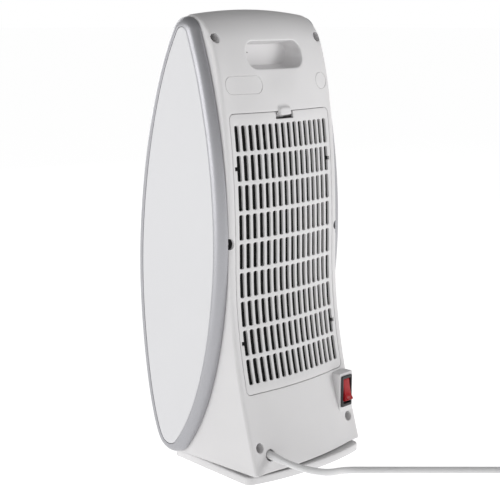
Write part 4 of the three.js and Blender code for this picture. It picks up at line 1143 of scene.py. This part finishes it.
def make_plug():
    """Plug body, lofted from the lead to a wide flat face, with ridges round its lead end."""
    builder = Builder()
    stations = [(-27, 4.6, 4.6), (-26.4, 5.0, 5.0), (-22, 5.2, 5.2), (-16, 5.5, 5.5), (-9, 6.6, 6.6),
                (-5, 9.6, 8.6), (-1, 13.2, 10.6), (4, 16.2, 12.2), (10, 17.6, 12.8), (15, 17.9, 12.8),
                (18.6, 17.9, 12.8), (19.6, 17.4, 12.4), (20, 16.6, 11.6)]
    turn = circle(0, 0, 1.0, 48)
    rows, flats = [], []
    for along, wide, tall in stations:
        power = 0.55 + 0.45 * (1 - smooth(along, -10, 8))
        flats.append(np.sign(turn) * np.abs(turn) ** power * (wide, tall))
        rows.append(along_x(*(flats[-1] + (PLUG["y"], PLUG["z"])).T, PLUG["x"] + along))
    indices = builder.tube(rows)
    builder.cap(indices[0], flats[0])
    builder.cap(indices[-1], flats[-1])
    for k in range(4):
        start = PLUG["x"] - 24.5 + 3.4 * k
        ridge = ((0, 4.9), (0.5, 5.9), (1.5, 5.9), (2.0, 4.9))
        rows = [along_x(*circle(PLUG["y"], PLUG["z"], radius).T, start + along) for along, radius in ridge]
        builder.tube(rows, True)
    return builder.finish("plug_shell", "cord", "housing", ["plug_body"])


def make_pin(side, number):
    builder = Builder()
    loop = circle(PLUG["y"] + side * 9.5, PLUG["z"], 2.4, 28)
    start = PLUG["x"] + 20.3
    section = [(0, start), (0, start + 17.0), *[(i, start + h) for i, h in quarter(0, 18.7, 1.6, 4)][1:]]
    add_plateau(builder, loop, section, along_x)
    return builder.finish(f"contact_pin_{number}", "steel", "housing", [f"plug_pin_{number}"])


def make_coil_tie():
    """A soft strap that holds the coil's turns together."""
    builder = Builder()
    inner, outer, low, high = 24.4, 44.6, 0.05, 13.1
    loop = rounded(inner, outer, low + 0.05, high, 2.4)

    def place(u, v, h):
        x, y = rotated(u, h, math.radians(-60))
        return stacked(COIL["x"] + x, COIL["y"] + y, np.maximum(v, 0.03))

    section = [(0, -4), (-0.7, -3.6), (-0.8, -2), (-0.8, 2), (-0.7, 3.6), (0, 4)]
    add_plateau(builder, loop, section, place, True)
    return builder.finish("coil_tie", "black", "housing")


# ---- heating element fins
def make_core(number):
    """A ceramic bar between two bands of folded aluminium fin."""
    builder = Builder()
    low, high = (np.array(corner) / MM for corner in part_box(f"ptc_core_{number}"))
    middle = (low[0] + high[0]) / 2
    add_box(builder, (middle - 1.6, low[1], low[2]), (middle + 1.6, high[1], high[2]), 0.3)
    for x in (low[0], high[0] - 0.8):
        add_box(builder, (x, low[1], low[2]), (x + 0.8, high[1], high[2]), 0.2)
    folds, sheet = 56, 0.18
    heights = np.linspace(low[2] + 1.5, high[2] - 1.5, 2 * folds + 1)
    for x0, x1 in ((low[0] + 0.8, middle - 1.6), (middle + 1.6, high[0] - 0.8)):
        line = stacked(np.where(np.arange(len(heights)) % 2 == 0, x0, x1), heights)
        loop = np.vstack([line - (0, sheet), (line + (0, sheet))[::-1]])
        for row in builder.tube([along_y(*loop.T, y) for y in (low[1] + 0.4, high[1] - 0.4)]):
            builder.faces += [(row[i], row[i + 1], row[-2 - i], row[-1 - i]) for i in range(len(line) - 1)]
    return builder.finish(f"fin_core_{number}", "fins", "housing", [f"ptc_core_{number}"])


# ---- CAD nodes that stay
CARRIED = {
    "board": ["control_board", "power_board"],
    "dark": ["blower_wheel", "scroll_housing"],
    "steel": ["wheel_shaft", "blower_motor", "thermal_cutout", "oscillation_motor", "base_ballast"],
    "bronze": ["top_bearing"],
    "mica": ["heater_frame"],
    "black": ["tilt_sensor"],
    "acetal": ["oscillation_crank", "swivel_washer", "turntable_ring", "drive_arm"],
    "rubber": ["foot_1", "foot_2", "foot_3", "foot_4"],
}


def dress_cad_nodes():
    for material, names in CARRIED.items():
        for name in names:
            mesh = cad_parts[name].data
            mesh.materials.clear()
            mesh.materials.append(MATERIALS[material])


# ---- stage and light
def make_stage():
    floor_mesh = bpy.data.meshes.new("studio_floor")
    far = 60.0
    corners = [(-far, -far, 0), (far, -far, 0), (far, far, 0), (-far, far, 0)]
    floor_mesh.from_pydata(corners, [], [(0, 1, 2, 3)])
    floor = bpy.data.objects.new("studio_floor", floor_mesh)
    bpy.context.scene.collection.objects.link(floor)
    paper = new_material("studio_paper", (0.40, 0.40, 0.40), 0.95, Specular_IOR_Level=0.0,
                         Emission_Color=(1, 1, 1, 1), Emission_Strength=0.90)
    floor_mesh.materials.append(paper)

    world = bpy.data.worlds.new("studio_world")
    bpy.context.scene.world = world
    world.use_nodes = True
    coordinates = add_node(world, "ShaderNodeTexCoord")
    split = add_node(world, "ShaderNodeSeparateXYZ")
    link(world, coordinates.outputs["Generated"], split.inputs["Vector"])
    levels = ((0.02, 1.0), (0.12, 0.52), (0.32, 0.36), (0.75, 0.15))
    sky = [(height, (level,) * 3) for height, level in levels]
    link(world, ramp(world, split.outputs["Z"], sky), world.node_tree.nodes["Background"].inputs["Color"])


def add_light(name, place, target, size, power, glossy=True):
    data = bpy.data.lights.new(name, "AREA")
    data.shape = "RECTANGLE"
    data.size, data.size_y = size
    data.energy = power
    light = bpy.data.objects.new(name, data)
    light.visible_camera = False
    light.visible_glossy = glossy
    bpy.context.scene.collection.objects.link(light)
    light.location = place
    light.rotation_euler = (Vector(target) - Vector(place)).to_track_quat("-Z", "Y").to_euler()


def make_lights():
    centre = (0, 0, 0.2)
    add_light("key_soft", (-0.78, 0.90, 0.38), centre, (0.45, 0.5), 4.4, False)
    add_light("glint_soft", (-0.9, 0.72, 0.62), centre, (0.3, 0.3), 0.8)
    add_light("flank_soft", (2.0, -0.5, 0.5), centre, (1.4, 1.4), 16.0)
    add_light("front_soft", (-0.3, -1.9, 0.9), centre, (1.4, 1.4), 12.0)


# ---- making everything
make_rear_housing()
make_painted_shade_marks()
make_filter_cover()
make_latch()
make_dust_mesh()
make_front_housing()
make_outlet_grille()
make_fascia()
make_lens()
for key_number in range(len(KEYS)):
    make_button(key_number)
for side_sign, side_word in ((1, "left"), (-1, "right")):
    make_trim(side_sign, side_word)
    make_panel(side_sign, side_word)
    make_screw(side_sign, SCREWS[0], f"top_{side_word}")
    make_screw(side_sign, SCREWS[1], f"bottom_{side_word}")
make_switch()
make_rocker()
make_base()
make_relief()
plug_shell = make_plug()
pins = [make_pin(-1, 1), make_pin(1, 2)]
tie = make_coil_tie()
for core_number in (1, 2, 3):
    make_core(core_number)
dress_cad_nodes()
make_stage()
make_lights()
bpy.context.scene.view_settings.view_transform = "Standard"
